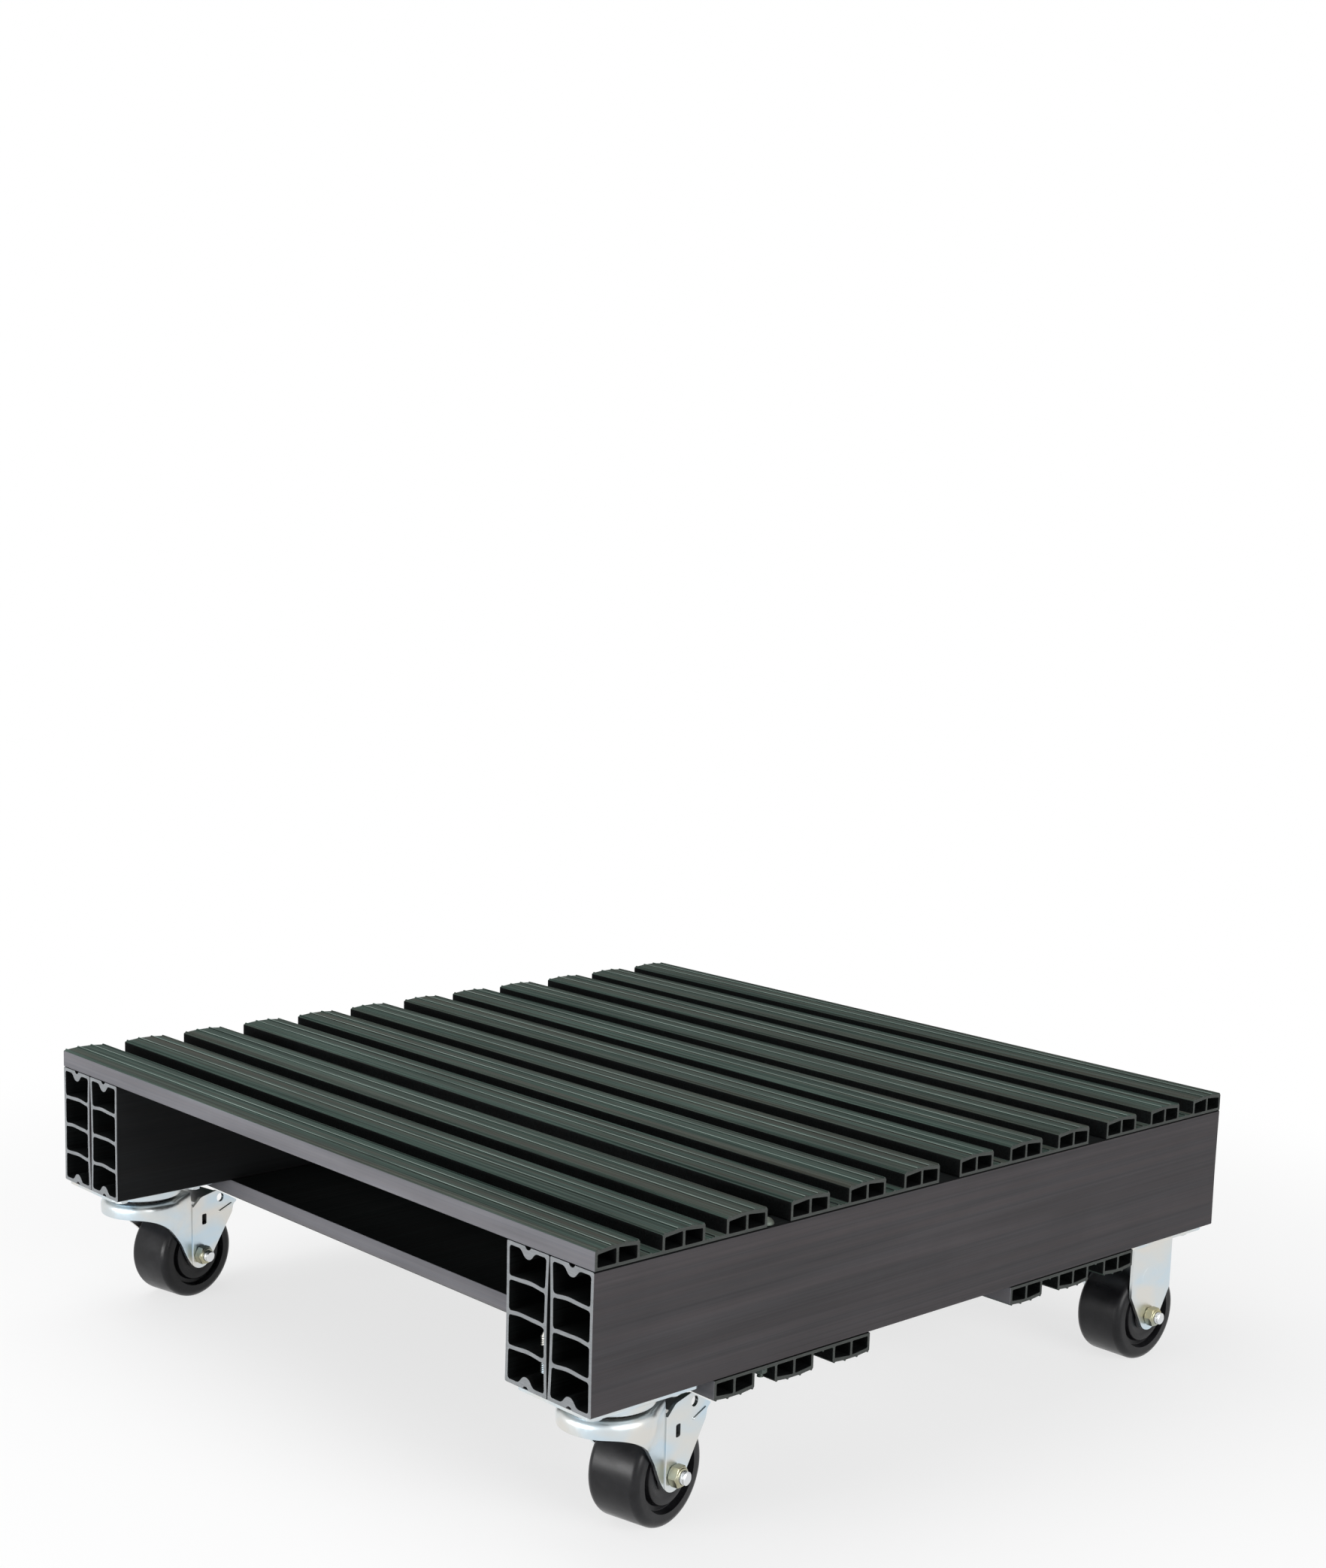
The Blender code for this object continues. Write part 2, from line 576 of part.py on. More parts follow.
def add_wheel_set(corner, wheel_mesh, meshes, materials, axle):
    place(f"{corner}_wheel", wheel_mesh, materials["wheel"], (0, 0, 0), axle)
    place(f"{corner}_axle_sleeve", meshes["sleeve"], materials["steel"], (0, 0, 0), axle)
    place(f"{corner}_axle_bolt", meshes["axle_bolt"], materials["axle_zinc"], (0, 0, 0), axle)
    place(f"{corner}_axle_nut", meshes["axle_nut"], materials["nut_zinc"], (0, 0, 0), axle)


def axle_meshes():
    """Pieces on one axle, along Y; the nut is on the -Y side."""
    face = LEG_OUTSIDE + SEAT
    nut_end = face + AXLE_NUT_HEIGHT
    bore = AXLE_RADIUS + HOLE_GAP
    sleeve_half = LEG_INSIDE - SEAT
    sleeve = [(bore, -sleeve_half), (SLEEVE_RADIUS, -sleeve_half), (SLEEVE_RADIUS, sleeve_half),
              (bore, sleeve_half)]
    bolt = [hexagon_ring(AXLE_HEAD_FLATS, -face - AXLE_HEAD_HEIGHT),
            hexagon_ring(AXLE_HEAD_FLATS, -face), round_ring(AXLE_RADIUS, -face),
            round_ring(AXLE_RADIUS, nut_end + AXLE_TAIL)]
    return {"sleeve": turned("sleeve", sleeve, ROUND_SEGMENTS, TURN_TO_Y),
            "axle_bolt": stacked("axle_bolt", bolt, TURN_TO_Y),
            "axle_nut": nut_mesh(face, nut_end, bore)}


def nut_mesh(start, end, bore):
    """A hexagon nut with a round bore, from start to end along -Y."""
    outline = [(x, y) for x, y, _ in hexagon_ring(AXLE_HEAD_FLATS, 0)]
    return prism("axle_nut", outline, [circle(0, 0, bore, BOLT_SEGMENTS)], start, end, TURN_TO_Y)


# ---------------------------------------------------------------- caster plates

def plate_outline():
    return rounded_rectangle(-PLATE_LENGTH / 2, PLATE_LENGTH / 2, -PLATE_WIDTH / 2, PLATE_WIDTH / 2,
                             PLATE_CORNER, 3)


def slot(x, y):
    """A slanted slot that starts round a screw and runs towards a squarer hole pattern."""
    dx = -math.copysign(SLOT_INWARD, x)
    dy = math.copysign(SLOT_OUTWARD, y)
    direction = math.degrees(math.atan2(dy, dx))
    radius = SCREW_RADIUS + HOLE_GAP
    return (arc(x + dx, y + dy, radius, direction - 90, direction + 90, 4)
            + arc(x, y, radius, direction + 90, direction + 270, 4))


def plate_slots():
    return [slot(x, y) for x in (-SCREW_X, SCREW_X) for y in (-SCREW_Y, SCREW_Y)]


# ---------------------------------------------------------------- rigid casters

def rigid_leg_outline():
    """Side view of the bracket: straight legs that narrow to a round end at the axle."""
    half = RIGID_LEG_WIDTH / 2
    drop = AXLE_DROP - RIGID_LEG_STRAIGHT
    tangent = foot_tangent(half, drop)
    top = -PLATE_THICKNESS / 2
    return ([(half, top), (-half, top), (-half, -RIGID_LEG_STRAIGHT)]
            + arc(0, -AXLE_DROP, FOOT_RADIUS, 180 - tangent, 360 + tangent, 10)
            + [(half, -RIGID_LEG_STRAIGHT)])


def foot_tangent(across, up):
    """Angle on the foot's circle where a straight edge from a point beside the axle touches it."""
    return math.degrees(math.atan2(up, across) - math.acos(FOOT_RADIUS / math.hypot(across, up)))


def channel_outline():
    """End view of a bracket: an upside-down U open at the bottom."""
    top, bottom = -PLATE_THICKNESS / 2, -AXLE_DROP - WHEEL_DIAMETER / 2
    inner_top = -PLATE_THICKNESS - LEG_THICKNESS
    corner = LEG_THICKNESS
    return ([(-LEG_OUTSIDE, bottom), (-LEG_INSIDE, bottom)]
            + arc(-LEG_INSIDE + corner, inner_top - corner, corner, 180, 90, 3)
            + arc(LEG_INSIDE - corner, inner_top - corner, corner, 90, 0, 3)
            + [(LEG_INSIDE, bottom), (LEG_OUTSIDE, bottom), (LEG_OUTSIDE, top), (-LEG_OUTSIDE, top)])


def axle_hole_cutter(x):
    radius = AXLE_RADIUS + HOLE_GAP
    return prism("axle_hole", circle(x, -AXLE_DROP, radius, BOLT_SEGMENTS), [], -FORK_WIDTH, FORK_WIDTH,
                 TURN_TO_Y)


def bracket_mesh():
    """Plate and legs: a channel cut to the legs' side view, welded under the plate."""
    channel = place("channel", prism("channel", channel_outline(), [], -PLATE_LENGTH, PLATE_LENGTH, ALONG_X))
    cut(channel, prism("side_view", rigid_leg_outline(), [], -FORK_WIDTH, FORK_WIDTH, ALONG_Y), "INTERSECT")
    legs = baked(channel, "legs")
    bracket = place("bracket", prism("plate", plate_outline(), plate_slots(), -PLATE_THICKNESS, 0, ALONG_Z))
    cut(bracket, legs, "UNION")
    cut(bracket, axle_hole_cutter(0))
    return baked(bracket, "bracket")


def add_rigid_caster(corner, side, meshes, materials):
    middle = make_empty(f"{corner}_caster", (RIGID_X, side * CASTER_Y, MOUNT_HEIGHT))
    axle = make_empty(f"{corner}_axle", (0, 0, -AXLE_DROP), middle)
    place(f"{corner}_bracket", meshes["bracket"], materials["zinc"], (0, 0, 0), middle)
    add_screws(corner, meshes["screw"], materials["zinc"], middle)
    add_wheel_set(corner, meshes["wheel"], meshes, materials, axle)


# ---------------------------------------------------------------- swivel casters

def fork_plan(outside, crown_radius, rear):
    """Top view of the fork: round front, sides drawn in along tangents to the fold, flat legs."""
    reach = math.hypot(FOLD_X, outside)
    tangent = math.degrees(math.atan2(outside, FOLD_X) + math.acos(crown_radius / reach))
    return ([(rear, outside), (FOLD_X, outside)]
            + arc(0, 0, crown_radius, tangent, 360 - tangent, 14)
            + [(FOLD_X, -outside), (rear, -outside)])


def onward(point, slope, distance):
    """A point further along a line that runs back and down at a slope."""
    return point[0] + distance * math.cos(slope), point[1] - distance * math.sin(slope)


def fork_side_view():
    """Side view of the fork: crown and skirt in front, then the flare and the leg down to the axle."""
    front = -CROWN_RADIUS - LEG_THICKNESS
    skirt, bend = (-SKIRT_END, -SKIRT_BOTTOM), (SKIRT_SWEEP - SKIRT_END, -SKIRT_BOTTOM)
    flare = (FLARE_X, -FLARE_DROP)
    rear = foot_tangent(LEG_REAR_X - TRAIL, AXLE_DROP - LEG_REAR_DROP)
    foot = arc(TRAIL, -AXLE_DROP, FOOT_RADIUS, rear, -math.degrees(FOOT_START), 8)
    before_foot = onward(foot[-1], FOOT_START - math.pi / 2, -FOOT_SWEEP)
    return ([(front, 0), (CROWN_REAR, 0), (FOLD_X, -FOLD_DROP), (LEG_TOP_X, -LEG_TOP_DROP),
             (LEG_TIP_X, -LEG_TIP_DROP), (LEG_NOTCH_X, -LEG_NOTCH_DROP), (LEG_REAR_X, -LEG_REAR_DROP)]
            + foot
            + bezier(foot[-1], before_foot, onward(flare, FLARE_SLOPE, FLARE_SWEEP_DOWN), flare, 4)
            + bezier(flare, onward(flare, FLARE_SLOPE, -FLARE_SWEEP_UP), bend, skirt, 6)
            + [(front, -SKIRT_BOTTOM)])


def fork_blank(name, inset, top, shoulder):
    """The fork's outer or inner form: upright round the crown, then drawn in towards the flat legs."""
    rear = LEG_TIP_X + 2 * inset + LEG_THICKNESS
    rings = []
    for radius, height in ((LEG_OUTSIDE, -AXLE_DROP - WHEEL_DIAMETER), (LEG_OUTSIDE, -AXLE_DROP),
                           (FLARE_RADIUS, -FLARE_DROP), (CROWN_RADIUS, -SKIRT_BOTTOM), (CROWN_RADIUS, top)):
        plan = fork_plan(LEG_OUTSIDE - inset, radius - inset, rear)
        rings.append([(x, y, height) for x, y in plan[::-1]])
    bm = bmesh.new()
    bm.from_mesh(stacked(name, rings))
    rim = [e for e in bm.edges if all(v.co.z > top - SEAT for v in e.verts)
           and any(abs(f.normal.z) < 0.5 and f.normal.x < 0.5 for f in e.link_faces)]
    bmesh.ops.bevel(bm, geom=rim, offset=shoulder, segments=2, profile=0.5, affect="EDGES",
                    clamp_overlap=False)
    return make_mesh(name, bm)


def roof_mesh():
    """The sheet that joins the legs along their upper edges, over the wheel."""
    slope = math.atan2(FOLD_DROP - LEG_TOP_DROP, LEG_TOP_X - FOLD_X)
    corner = (LEG_TOP_X, -LEG_TOP_DROP - ROOF_SINK)
    rear = onward(corner, -slope, -ROOF_SINK)
    front = onward(corner, -slope, (ROOF_FRONT_X - LEG_TOP_X) / math.cos(slope))
    outline = [front, rear, (rear[0], rear[1] - LEG_THICKNESS), (front[0], front[1] - LEG_THICKNESS)]
    half = LEG_OUTSIDE - LEG_THICKNESS / 2
    return prism("roof", outline, [], -half, half, ALONG_Y)


def fork_mesh():
    """Crown, skirt and legs, pressed from one sheet."""
    inner_top = -CROWN_TOP - LEG_THICKNESS
    fork = place("fork", fork_blank("outside", 0.0, -CROWN_TOP, CROWN_SHOULDER))
    cut(fork, fork_blank("inside", LEG_THICKNESS, inner_top, CROWN_SHOULDER - LEG_THICKNESS))
    cut(fork, prism("side_view", fork_side_view(), [], -FORK_WIDTH, FORK_WIDTH, ALONG_Y), "INTERSECT")
    cut(fork, roof_mesh(), "UNION")
    cut(fork, joined("holes", [axle_hole_cutter(TRAIL)] + leg_hole_cutters()))
    pin_hole = drill("kingpin", 0, 0, KINGPIN_RADIUS, -SKIRT_BOTTOM, 0)
    cut(fork, joined("bearing", [ball_track_mesh(), pin_hole]))
    return baked(fork, "fork")


def race_profile():
    """The upper race, a pressed cup under the plate with a groove for the balls."""
    bore = KINGPIN_RADIUS + HOLE_GAP
    groove_radius = BALL_RADIUS + SEAT
    dip = math.degrees(math.asin((BALL_DROP - RACE_BOTTOM) / groove_radius))
    return ([(bore, -PLATE_THICKNESS / 2), (bore, -RACE_BOTTOM)]
            + arc(BALL_CIRCLE, -BALL_DROP, groove_radius, 180 - dip, dip, 3)
            + arc(RACE_RADIUS - RACE_EDGE, -RACE_BOTTOM + RACE_EDGE, RACE_EDGE, -90, 0, 2)
            + [(RACE_RADIUS, -PLATE_THICKNESS / 2)])


def ball_track_mesh():
    """Cutter for the lower ball track in the crown's top."""
    ring = arc(BALL_CIRCLE, -BALL_DROP, BALL_RADIUS + SEAT, 0, 360, 8)[:-1]
    return turned("ball_track", ring, ROUND_SEGMENTS)


def leg_hole_cutters():
    """Cutters for the round hole and the small slot in each leg."""
    half_width, half_height = LEG_SLOT_WIDTH / 2, LEG_SLOT_HEIGHT / 2
    outlines = (circle(LEG_HOLE_X, -LEG_HOLE_DROP, LEG_HOLE_RADIUS, BOLT_SEGMENTS),
                rounded_rectangle(LEG_SLOT_X - half_width, LEG_SLOT_X + half_width,
                                  -LEG_SLOT_DROP - half_height, -LEG_SLOT_DROP + half_height,
                                  half_width / 2, 1))
    return [prism("leg_hole", outline, [], -FORK_WIDTH, FORK_WIDTH, TURN_TO_Y) for outline in outlines]


def kingpin_mesh():
    """The pin that holds the crown up: flush in the plate, with a head under the crown."""
    head_top = -CROWN_TOP - LEG_THICKNESS - RUNNING_GAP
    head_bottom = head_top - KINGPIN_HEAD_HEIGHT
    return stacked("kingpin", [round_ring(KINGPIN_HEAD_RADIUS - KINGPIN_HEAD_EDGE, head_bottom),
                               round_ring(KINGPIN_HEAD_RADIUS, head_bottom + KINGPIN_HEAD_EDGE),
                               round_ring(KINGPIN_HEAD_RADIUS, head_top),
                               round_ring(KINGPIN_RADIUS, head_top),
                               round_ring(KINGPIN_RADIUS, -SEAT)])


def top_plate_mesh():
    """Plate with the upper race pressed on under it."""
    plate = place("plate", prism("plate", plate_outline(), plate_slots(), -PLATE_THICKNESS, 0, ALONG_Z))
    cut(plate, turned("race", race_profile(), ROUND_SEGMENTS), "UNION")
    cut(plate, drill("kingpin", 0, 0, KINGPIN_RADIUS + HOLE_GAP, -2 * RACE_BOTTOM, RACE_BOTTOM))
    return baked(plate, "top_plate")


def add_swivel_caster(corner, side, meshes, materials):
    middle = make_empty(f"{corner}_caster", (SWIVEL_X, side * CASTER_Y, MOUNT_HEIGHT))
    swivel = make_empty(f"{corner}_swivel", (0, 0, 0), middle, SWIVEL_ANGLE)
    axle = make_empty(f"{corner}_axle", (TRAIL, 0, -AXLE_DROP), swivel)
    place(f"{corner}_top_plate", meshes["top_plate"], materials["zinc"], (0, 0, 0), middle)
    place(f"{corner}_kingpin", meshes["kingpin"], materials["steel"], (0, 0, 0), middle)
    place(f"{corner}_ball_ring", meshes["ball_ring"], materials["steel"], (0, 0, -BALL_DROP), middle)
    place(f"{corner}_fork", meshes["fork"], materials["zinc"], (0, 0, 0), swivel)
    add_screws(corner, meshes["screw"], materials["zinc"], middle)
    add_wheel_set(corner, meshes["wheel"], meshes, materials, axle)


# ---------------------------------------------------------------- whole dolly

def caster_meshes():
    ball = arc(BALL_CIRCLE, 0, BALL_RADIUS, 0, 360, 8)[:-1]
    meshes = {
        "wheel": turned("wheel", wheel_profile(), WHEEL_SEGMENTS, TURN_TO_Y),
        "screw": screw_mesh(),
        "kingpin": kingpin_mesh(),
        "ball_ring": turned("ball_ring", ball, ROUND_SEGMENTS),
        "top_plate": top_plate_mesh(),
        "fork": fork_mesh(),
        "bracket": bracket_mesh(),
    }
    meshes.update(axle_meshes())
    return meshes


def build():
    clear_scene()
    plastic = make_material("deck_plastic", (0.050, 0.052, 0.055), 0.55, 0.0)
    materials = {
        "zinc": make_material("zinc_plate", (0.72, 0.75, 0.78), 0.28, 1.0),
        "axle_zinc": make_material("axle_zinc", (0.70, 0.72, 0.74), 0.30, 1.0),
        "nut_zinc": make_material("yellow_zinc", (0.70, 0.66, 0.50), 0.32, 1.0),
        "steel": make_material("steel", (0.45, 0.45, 0.46), 0.35, 1.0),
        "wheel": make_material("wheel_plastic", (0.020, 0.020, 0.022), 0.45, 0.0),
    }
    add_boards(plastic)
    add_beams(plastic)
    add_board_fasteners(materials["zinc"])
    meshes = caster_meshes()
    add_swivel_caster("rear_right", -1, meshes, materials)
    add_swivel_caster("rear_left", 1, meshes, materials)
    add_rigid_caster("front_right", -1, meshes, materials)
    add_rigid_caster("front_left", 1, meshes, materials)


build()
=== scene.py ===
"""Looks of the furniture dolly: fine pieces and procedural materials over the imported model.

Metres, +Z up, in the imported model's frame: the floor is Z = 0 and the dolly rolls along X.
Every piece's mesh is written in world coordinates, so object coordinates are metres in the materials.
"""
import json
from math import acos, asin, atan2, copysign, cos, degrees, hypot, pi, radians, sin, tan

import bmesh
import bpy
from mathutils import Matrix, Vector

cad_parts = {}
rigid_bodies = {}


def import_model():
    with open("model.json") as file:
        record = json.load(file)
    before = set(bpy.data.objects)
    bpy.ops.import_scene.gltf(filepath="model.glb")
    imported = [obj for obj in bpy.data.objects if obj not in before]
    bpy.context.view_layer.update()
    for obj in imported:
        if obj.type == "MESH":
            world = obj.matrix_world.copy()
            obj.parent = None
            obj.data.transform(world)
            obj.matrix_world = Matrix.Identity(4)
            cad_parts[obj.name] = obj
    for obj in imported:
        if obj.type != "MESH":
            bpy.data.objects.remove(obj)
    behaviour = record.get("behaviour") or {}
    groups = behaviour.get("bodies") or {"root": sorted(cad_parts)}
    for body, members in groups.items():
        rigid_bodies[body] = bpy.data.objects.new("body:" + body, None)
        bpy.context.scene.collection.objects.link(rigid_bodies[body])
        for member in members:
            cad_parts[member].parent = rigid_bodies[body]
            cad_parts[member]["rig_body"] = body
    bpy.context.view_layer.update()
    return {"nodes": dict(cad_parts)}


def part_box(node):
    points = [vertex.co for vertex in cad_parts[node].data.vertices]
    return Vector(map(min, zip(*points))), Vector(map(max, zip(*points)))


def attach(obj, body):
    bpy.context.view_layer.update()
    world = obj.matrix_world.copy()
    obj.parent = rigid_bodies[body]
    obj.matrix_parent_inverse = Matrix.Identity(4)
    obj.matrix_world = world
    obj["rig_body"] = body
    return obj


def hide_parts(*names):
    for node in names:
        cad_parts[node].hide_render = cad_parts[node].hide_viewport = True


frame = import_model()
studio = bpy.context.scene

# The photograph's frame and the camera that took it
PHOTO_HEIGHT = 2086
FOCAL_PIXELS = 3088
HORIZON_ROW = 1225  # row that the camera's axis meets
CAMERA_PLACE = (-1.6962, -1.8672, 0.9067)
CAMERA_YAW = radians(-42.81)
CAMERA_DOWN = radians(9.85)
CAMERA_ROLL = radians(1.64)
SENSOR = 36.0  # millimetres, the picture's height
FLOOR_FADE_START = 0.6  # from the middle of the dolly
FLOOR_FADE_END = 1.5
SHADOW_LIGHTENING = 0.72  # share of plain white in the floor's shadow
AMBIENT = 0.16

# Boards, one extrusion
BAR_WIDTH = 0.0515
BAR_HEIGHT = 0.02
WEB_WIDTH = 0.0258
BARS = 3
BOARD_WALL = 0.0034
WEB_THICKNESS = 0.0036
WEB_RIB_HEIGHT = 0.0012
WEB_RIB_WIDTH = 0.0024
RIDGE_HEIGHT = 0.0012
RIDGE_WIDTH = 0.0026
RIDGE_PLACES = (0.06, 0.35, 0.67, 0.96)
# Painted shade for the ridges' flanks, and a crest colour that is wear and a painted highlight
RIDGE_PAINTED_SHADE, RIDGE_WEAR_AND_HIGHLIGHT = (0.004, 0.006, 0.005), (0.23, 0.29, 0.262)
BAR_CROWN = 0.002  # how far a bar's top falls towards its sides
BOARD_CORNER = 0.0009
DECK_ENDS = ("deck_board_1", "deck_board_4")  # only these have an outer side, left and right
SAWN_EDGE = 0.0003  # chamfer that a saw and a rub leave at a cut end
BOARD_WIDTH = BARS * BAR_WIDTH + (BARS - 1) * WEB_WIDTH
BOARD_HEIGHT = BAR_HEIGHT + RIDGE_HEIGHT

# Planks, two to a beam
PLANK_WALL = 0.0041
PLANK_WEB = 0.0043
PLANK_CELLS = 4
PLANK_CORNER = 0.0018
CELL_FILLET = 0.0026
WEB_RISE = 0.0012
WEB_WAVE = 0.0003
WEB_WAVES = 2.6  # half waves across a web
WAVE_SHIFT = 90  # radians per metre of height, so that no two webs look alike
SEAM_BOW = 0.0018
FACE_BOW = 0.0005
GROOVE_RADIUS = 0.004
GROOVE_DEPTH = 0.0028
PAINTED_SHADE_SLOPE = 0.25  # top walls steeper than this take painted shade for the boards' shade over them
BEAD_RADIUS = 0.0078  # how far a bead stands in
BEAD_REACH = 0.013  # half its width where it meets the wall

# Plates and screws
PLATE_DEPTH = 0.004
PLATE_CORNER = 0.007
PLATE_EDGE = 0.0006
SLOT_INWARD = 0.0079
SLOT_OUTWARD = 0.0048
SCREW_RADIUS = 0.004
SCREW_PITCH = 0.002
SCREW_HEAD_FLATS = 0.0143
SCREW_HEAD_HEIGHT = 0.0062
BOLT_RADIUS = 0.0032
BOLT_PITCH = 0.0012
BOLT_HEAD_RADIUS = 0.0078
BOLT_HEAD_HEIGHT = 0.0062
BOLT_NUT_FLATS = 0.0111
BOLT_NUT_HEIGHT = 0.0056
BOLT_TAIL = 0.004
COARSE, FINE, AXLE_FINE = 0.22, 0.16, 0.1  # depths of threads as shares of their radius
BEAM_TOP_OVER_PLATE = 0.1316
HOLE_GAP = 0.0004
SEAT = 0.0003
EASING = 0.0008  # radius of moulded and pressed corners
PLATES = {"rear_right": "_top_plate", "rear_left": "_top_plate",
          "front_right": "_bracket", "front_left": "_bracket"}

# Wheels and axles
TREAD_SHOULDER = 0.008
RIM_WIDTH = 0.006
SIDE_GROOVE_WIDTH = 0.008
SIDE_GROOVE_DEPTH = 0.0075
DISC_INSET = 0.0012
SIDE_DRAFT = 0.0015
DISH = 0.0012  # how far the disc falls towards the hub
HUB_RADIUS = 0.015
HUB_GAP = 0.0008
SLEEVE_RADIUS = 0.009
AXLE_RADIUS = 0.00635
AXLE_HEAD_FLATS = 0.019
AXLE_HEAD_HEIGHT = 0.008
AXLE_NUT_HEIGHT = 0.011
AXLE_TAIL = 0.005
AXLE_PITCH = 0.0016
COLLAR_SHARE = 0.14  # of the nut's height
COLLAR_RADIUS = 0.008835
COLLAR_ROUND = 0.0016

# Legs, with drops from the plate's top
SHEET = 0.0035  # thickness of their steel
LEG_FACE = 0.033
FOOT_RADIUS = 0.0165
AXLE_DROP = 0.095
RIGID_LEG_WIDTH = 0.07
RIGID_LEG_STRAIGHT = 0.068
BUTTON_X = -0.002  # round emboss on the rigid legs
BUTTON_DROP = 0.052
BUTTON_RADIUS = 0.015
BUTTON_RISE = 0.0004

# Swivel bearing
RACE_RADIUS = 0.044
RACE_BOTTOM = 0.0142
RACE_EDGE = 0.0025
RACE_FILLET = 0.0016
BEARING_GAP = 0.0036
CROWN_TOP = RACE_BOTTOM + BEARING_GAP
BALL_DROP = RACE_BOTTOM + BEARING_GAP / 2
BALL_RADIUS = 0.003
BALL_CIRCLE = 0.034
BALLS = 30
CAGE_REACH = 0.0026  # to each side of the balls' circle
CAGE_HEIGHT = 0.0024
PIN_RADIUS = 0.0065
PIN_HEAD_RADIUS = 0.013
PIN_HEAD_HEIGHT = 0.007
RUNNING_GAP = 0.0005

# Swivel fork: places are (back from the kingpin's axis, up from the plate's top)
TRAIL = 0.058
CROWN_RADIUS = 0.0465
CROWN_SHOULDER = 0.008
SKIRT_BOTTOM = 0.0345
SKIRT_END = 0.038
SKIRT_SWEEP = 0.024
TAPER_TOP = 0.028
TAPER_SWEEP = 0.019
FLARE = (0.025, -0.073)
FLARE_SLOPE = radians(50)
FLARE_SWEEP_UP = 0.0235
FLARE_SWEEP_DOWN = 0.0125
FOOT_SWEEP = 0.016
FOOT_START = radians(140)
FOLD_X = 0.0455
FOLD_STEP = 0.001  # the flat leg stands this far out of the flare's end
FOLD_RUN = 0.0016
FOLD_CURVE = ((1, 0), (0.35, 0.12), (0.08, 0.45), (0, 1.2), (-1, 1))  # shares of its run and its step
FOLD_DROP = 0.038
CROWN_REAR = 0.04
LEG_SHOULDER = (0.0587, -0.0274)
LEG_TOP = (0.083, -0.024)
LEG_TIP = (0.1145, -0.0425)
LEG_NOTCH = (0.1085, -0.046)
LEG_REAR = (0.1064, -0.0552)
LEG_HOLE = (0.0879, -0.0338)
LEG_HOLE_RADIUS = 0.0052
LEG_SLOT = (0.0632, -0.0545)
LEG_SLOT_WIDTH, LEG_SLOT_HEIGHT = 0.0068, 0.0125
ROOF_FRONT_X = 0.0565
ROOF_SINK = 0.0008
CORNER_EASING = 0.0025
RIB_START = (0.087, -0.0503)
RIB_END = (0.1045, -0.0448)
RIB_WIDTH = 0.003
RIB_RISE = 0.0011

CUT_INDEX, SHADE_INDEX = 1, 2  # materials of cut ends and of walls painted with shade
LEFT_INDEX, RIGHT_INDEX = 3, 4  # materials of a board's outer sides: painted light on an outermost side, painted shade where a side meets a neighbour
UPRIGHT = 0.7  # a wall's normal leans less than this from level
SHARP_ANGLE = radians(32)
ROUND_STEPS, SMALL_STEPS = 96, 48
CORNER_SHARE = 0.45  # most of a side that a rounded corner takes up
CORNER_PULL = 0.55  # how far its curve is drawn towards the corner

# Maps from a profile's (across, up, along) to the object's axes
ALONG_X = Matrix(((0, 0, 1, 0), (1, 0, 0, 0), (0, 1, 0, 0), (0, 0, 0, 1)))
ALONG_Y = Matrix(((1, 0, 0, 0), (0, 0, 1, 0), (0, 1, 0, 0), (0, 0, 0, 1)))
ALONG_Z = Matrix.Identity(4)
TURN_TO_Y = Matrix.Rotation(radians(90), 4, "X")


# ---- outlines

def arc(x, y, radius, start, end, steps):
    """Points on a circular arc; the angles are in degrees."""
    angles = [radians(start + (end - start) * i / steps) for i in range(steps + 1)]
    return [(x + radius * cos(a), y + radius * sin(a)) for a in angles]


def circle(x, y, radius, segments=SMALL_STEPS):
    return arc(x, y, radius, 0, 360, segments)[:-1]


def polar(radius, angle):
    return radius * cos(angle), radius * sin(angle)


def bezier(start, first, second, end, steps):
    """Points on a cubic curve, without its start."""
    points = []
    for i in range(1, steps + 1):
        t = i / steps
        weights = ((1 - t) ** 3, 3 * t * (1 - t) ** 2, 3 * t ** 2 * (1 - t), t ** 3)
        corners = (start, first, second, end)
        points.append(tuple(sum(w * c[axis] for w, c in zip(weights, corners)) for axis in (0, 1)))
    return points


def onward(point, slope, distance):
    """A point further along a line that runs back and down at a slope."""
    return point[0] + distance * cos(slope), point[1] - distance * sin(slope)


def corner_curve(before, here, after, radius, steps):
    """A rounded corner from side to side, smaller where a side is short."""
    corner, back, ahead = Vector(here), Vector(before) - Vector(here), Vector(after) - Vector(here)
    reach = min(radius, CORNER_SHARE * back.length, CORNER_SHARE * ahead.length)
    start, end = corner + back.normalized() * reach, corner + ahead.normalized() * reach
    curve = bezier(start, start.lerp(corner, CORNER_PULL), end.lerp(corner, CORNER_PULL), end, steps)
    return [tuple(start)] + curve


def rounded(points, radius):
    """The closed outline with every corner rounded."""
    corners = zip(points[-1:] + points, points, points[1:] + points[:1])
    return [point for corner in corners for point in corner_curve(*corner, radius, 3)]


def eased(points, radius):
    """The open outline with its inner corners rounded."""
    corners = zip(points, points[1:], points[2:])
    return [points[0]] + [p for corner in corners for p in corner_curve(*corner, radius, 4)] + [points[-1]]


def oriented(points, sign):
    """The outline, anticlockwise for a sign of +1."""
    area = sum(points[i - 1][0] * p[1] - p[0] * points[i - 1][1] for i, p in enumerate(points))
    return points if area * sign > 0 else points[::-1]


def inset(points, distance):
    """A closed outline moved to its left, which is into the material."""
    if not distance:
        return points
    moved = []
    for i, corner in enumerate(points):
        here = Vector(corner)
        before = (here - Vector(points[i - 1])).normalized()
        after = (Vector(points[(i + 1) % len(points)]) - here).normalized()
        left = Vector((-before.y - after.y, before.x + after.x)).normalized()
        reach = distance / max(0.5, left.dot(Vector((-before.y, before.x))))
        moved.append(tuple(here + left * reach))
    return moved


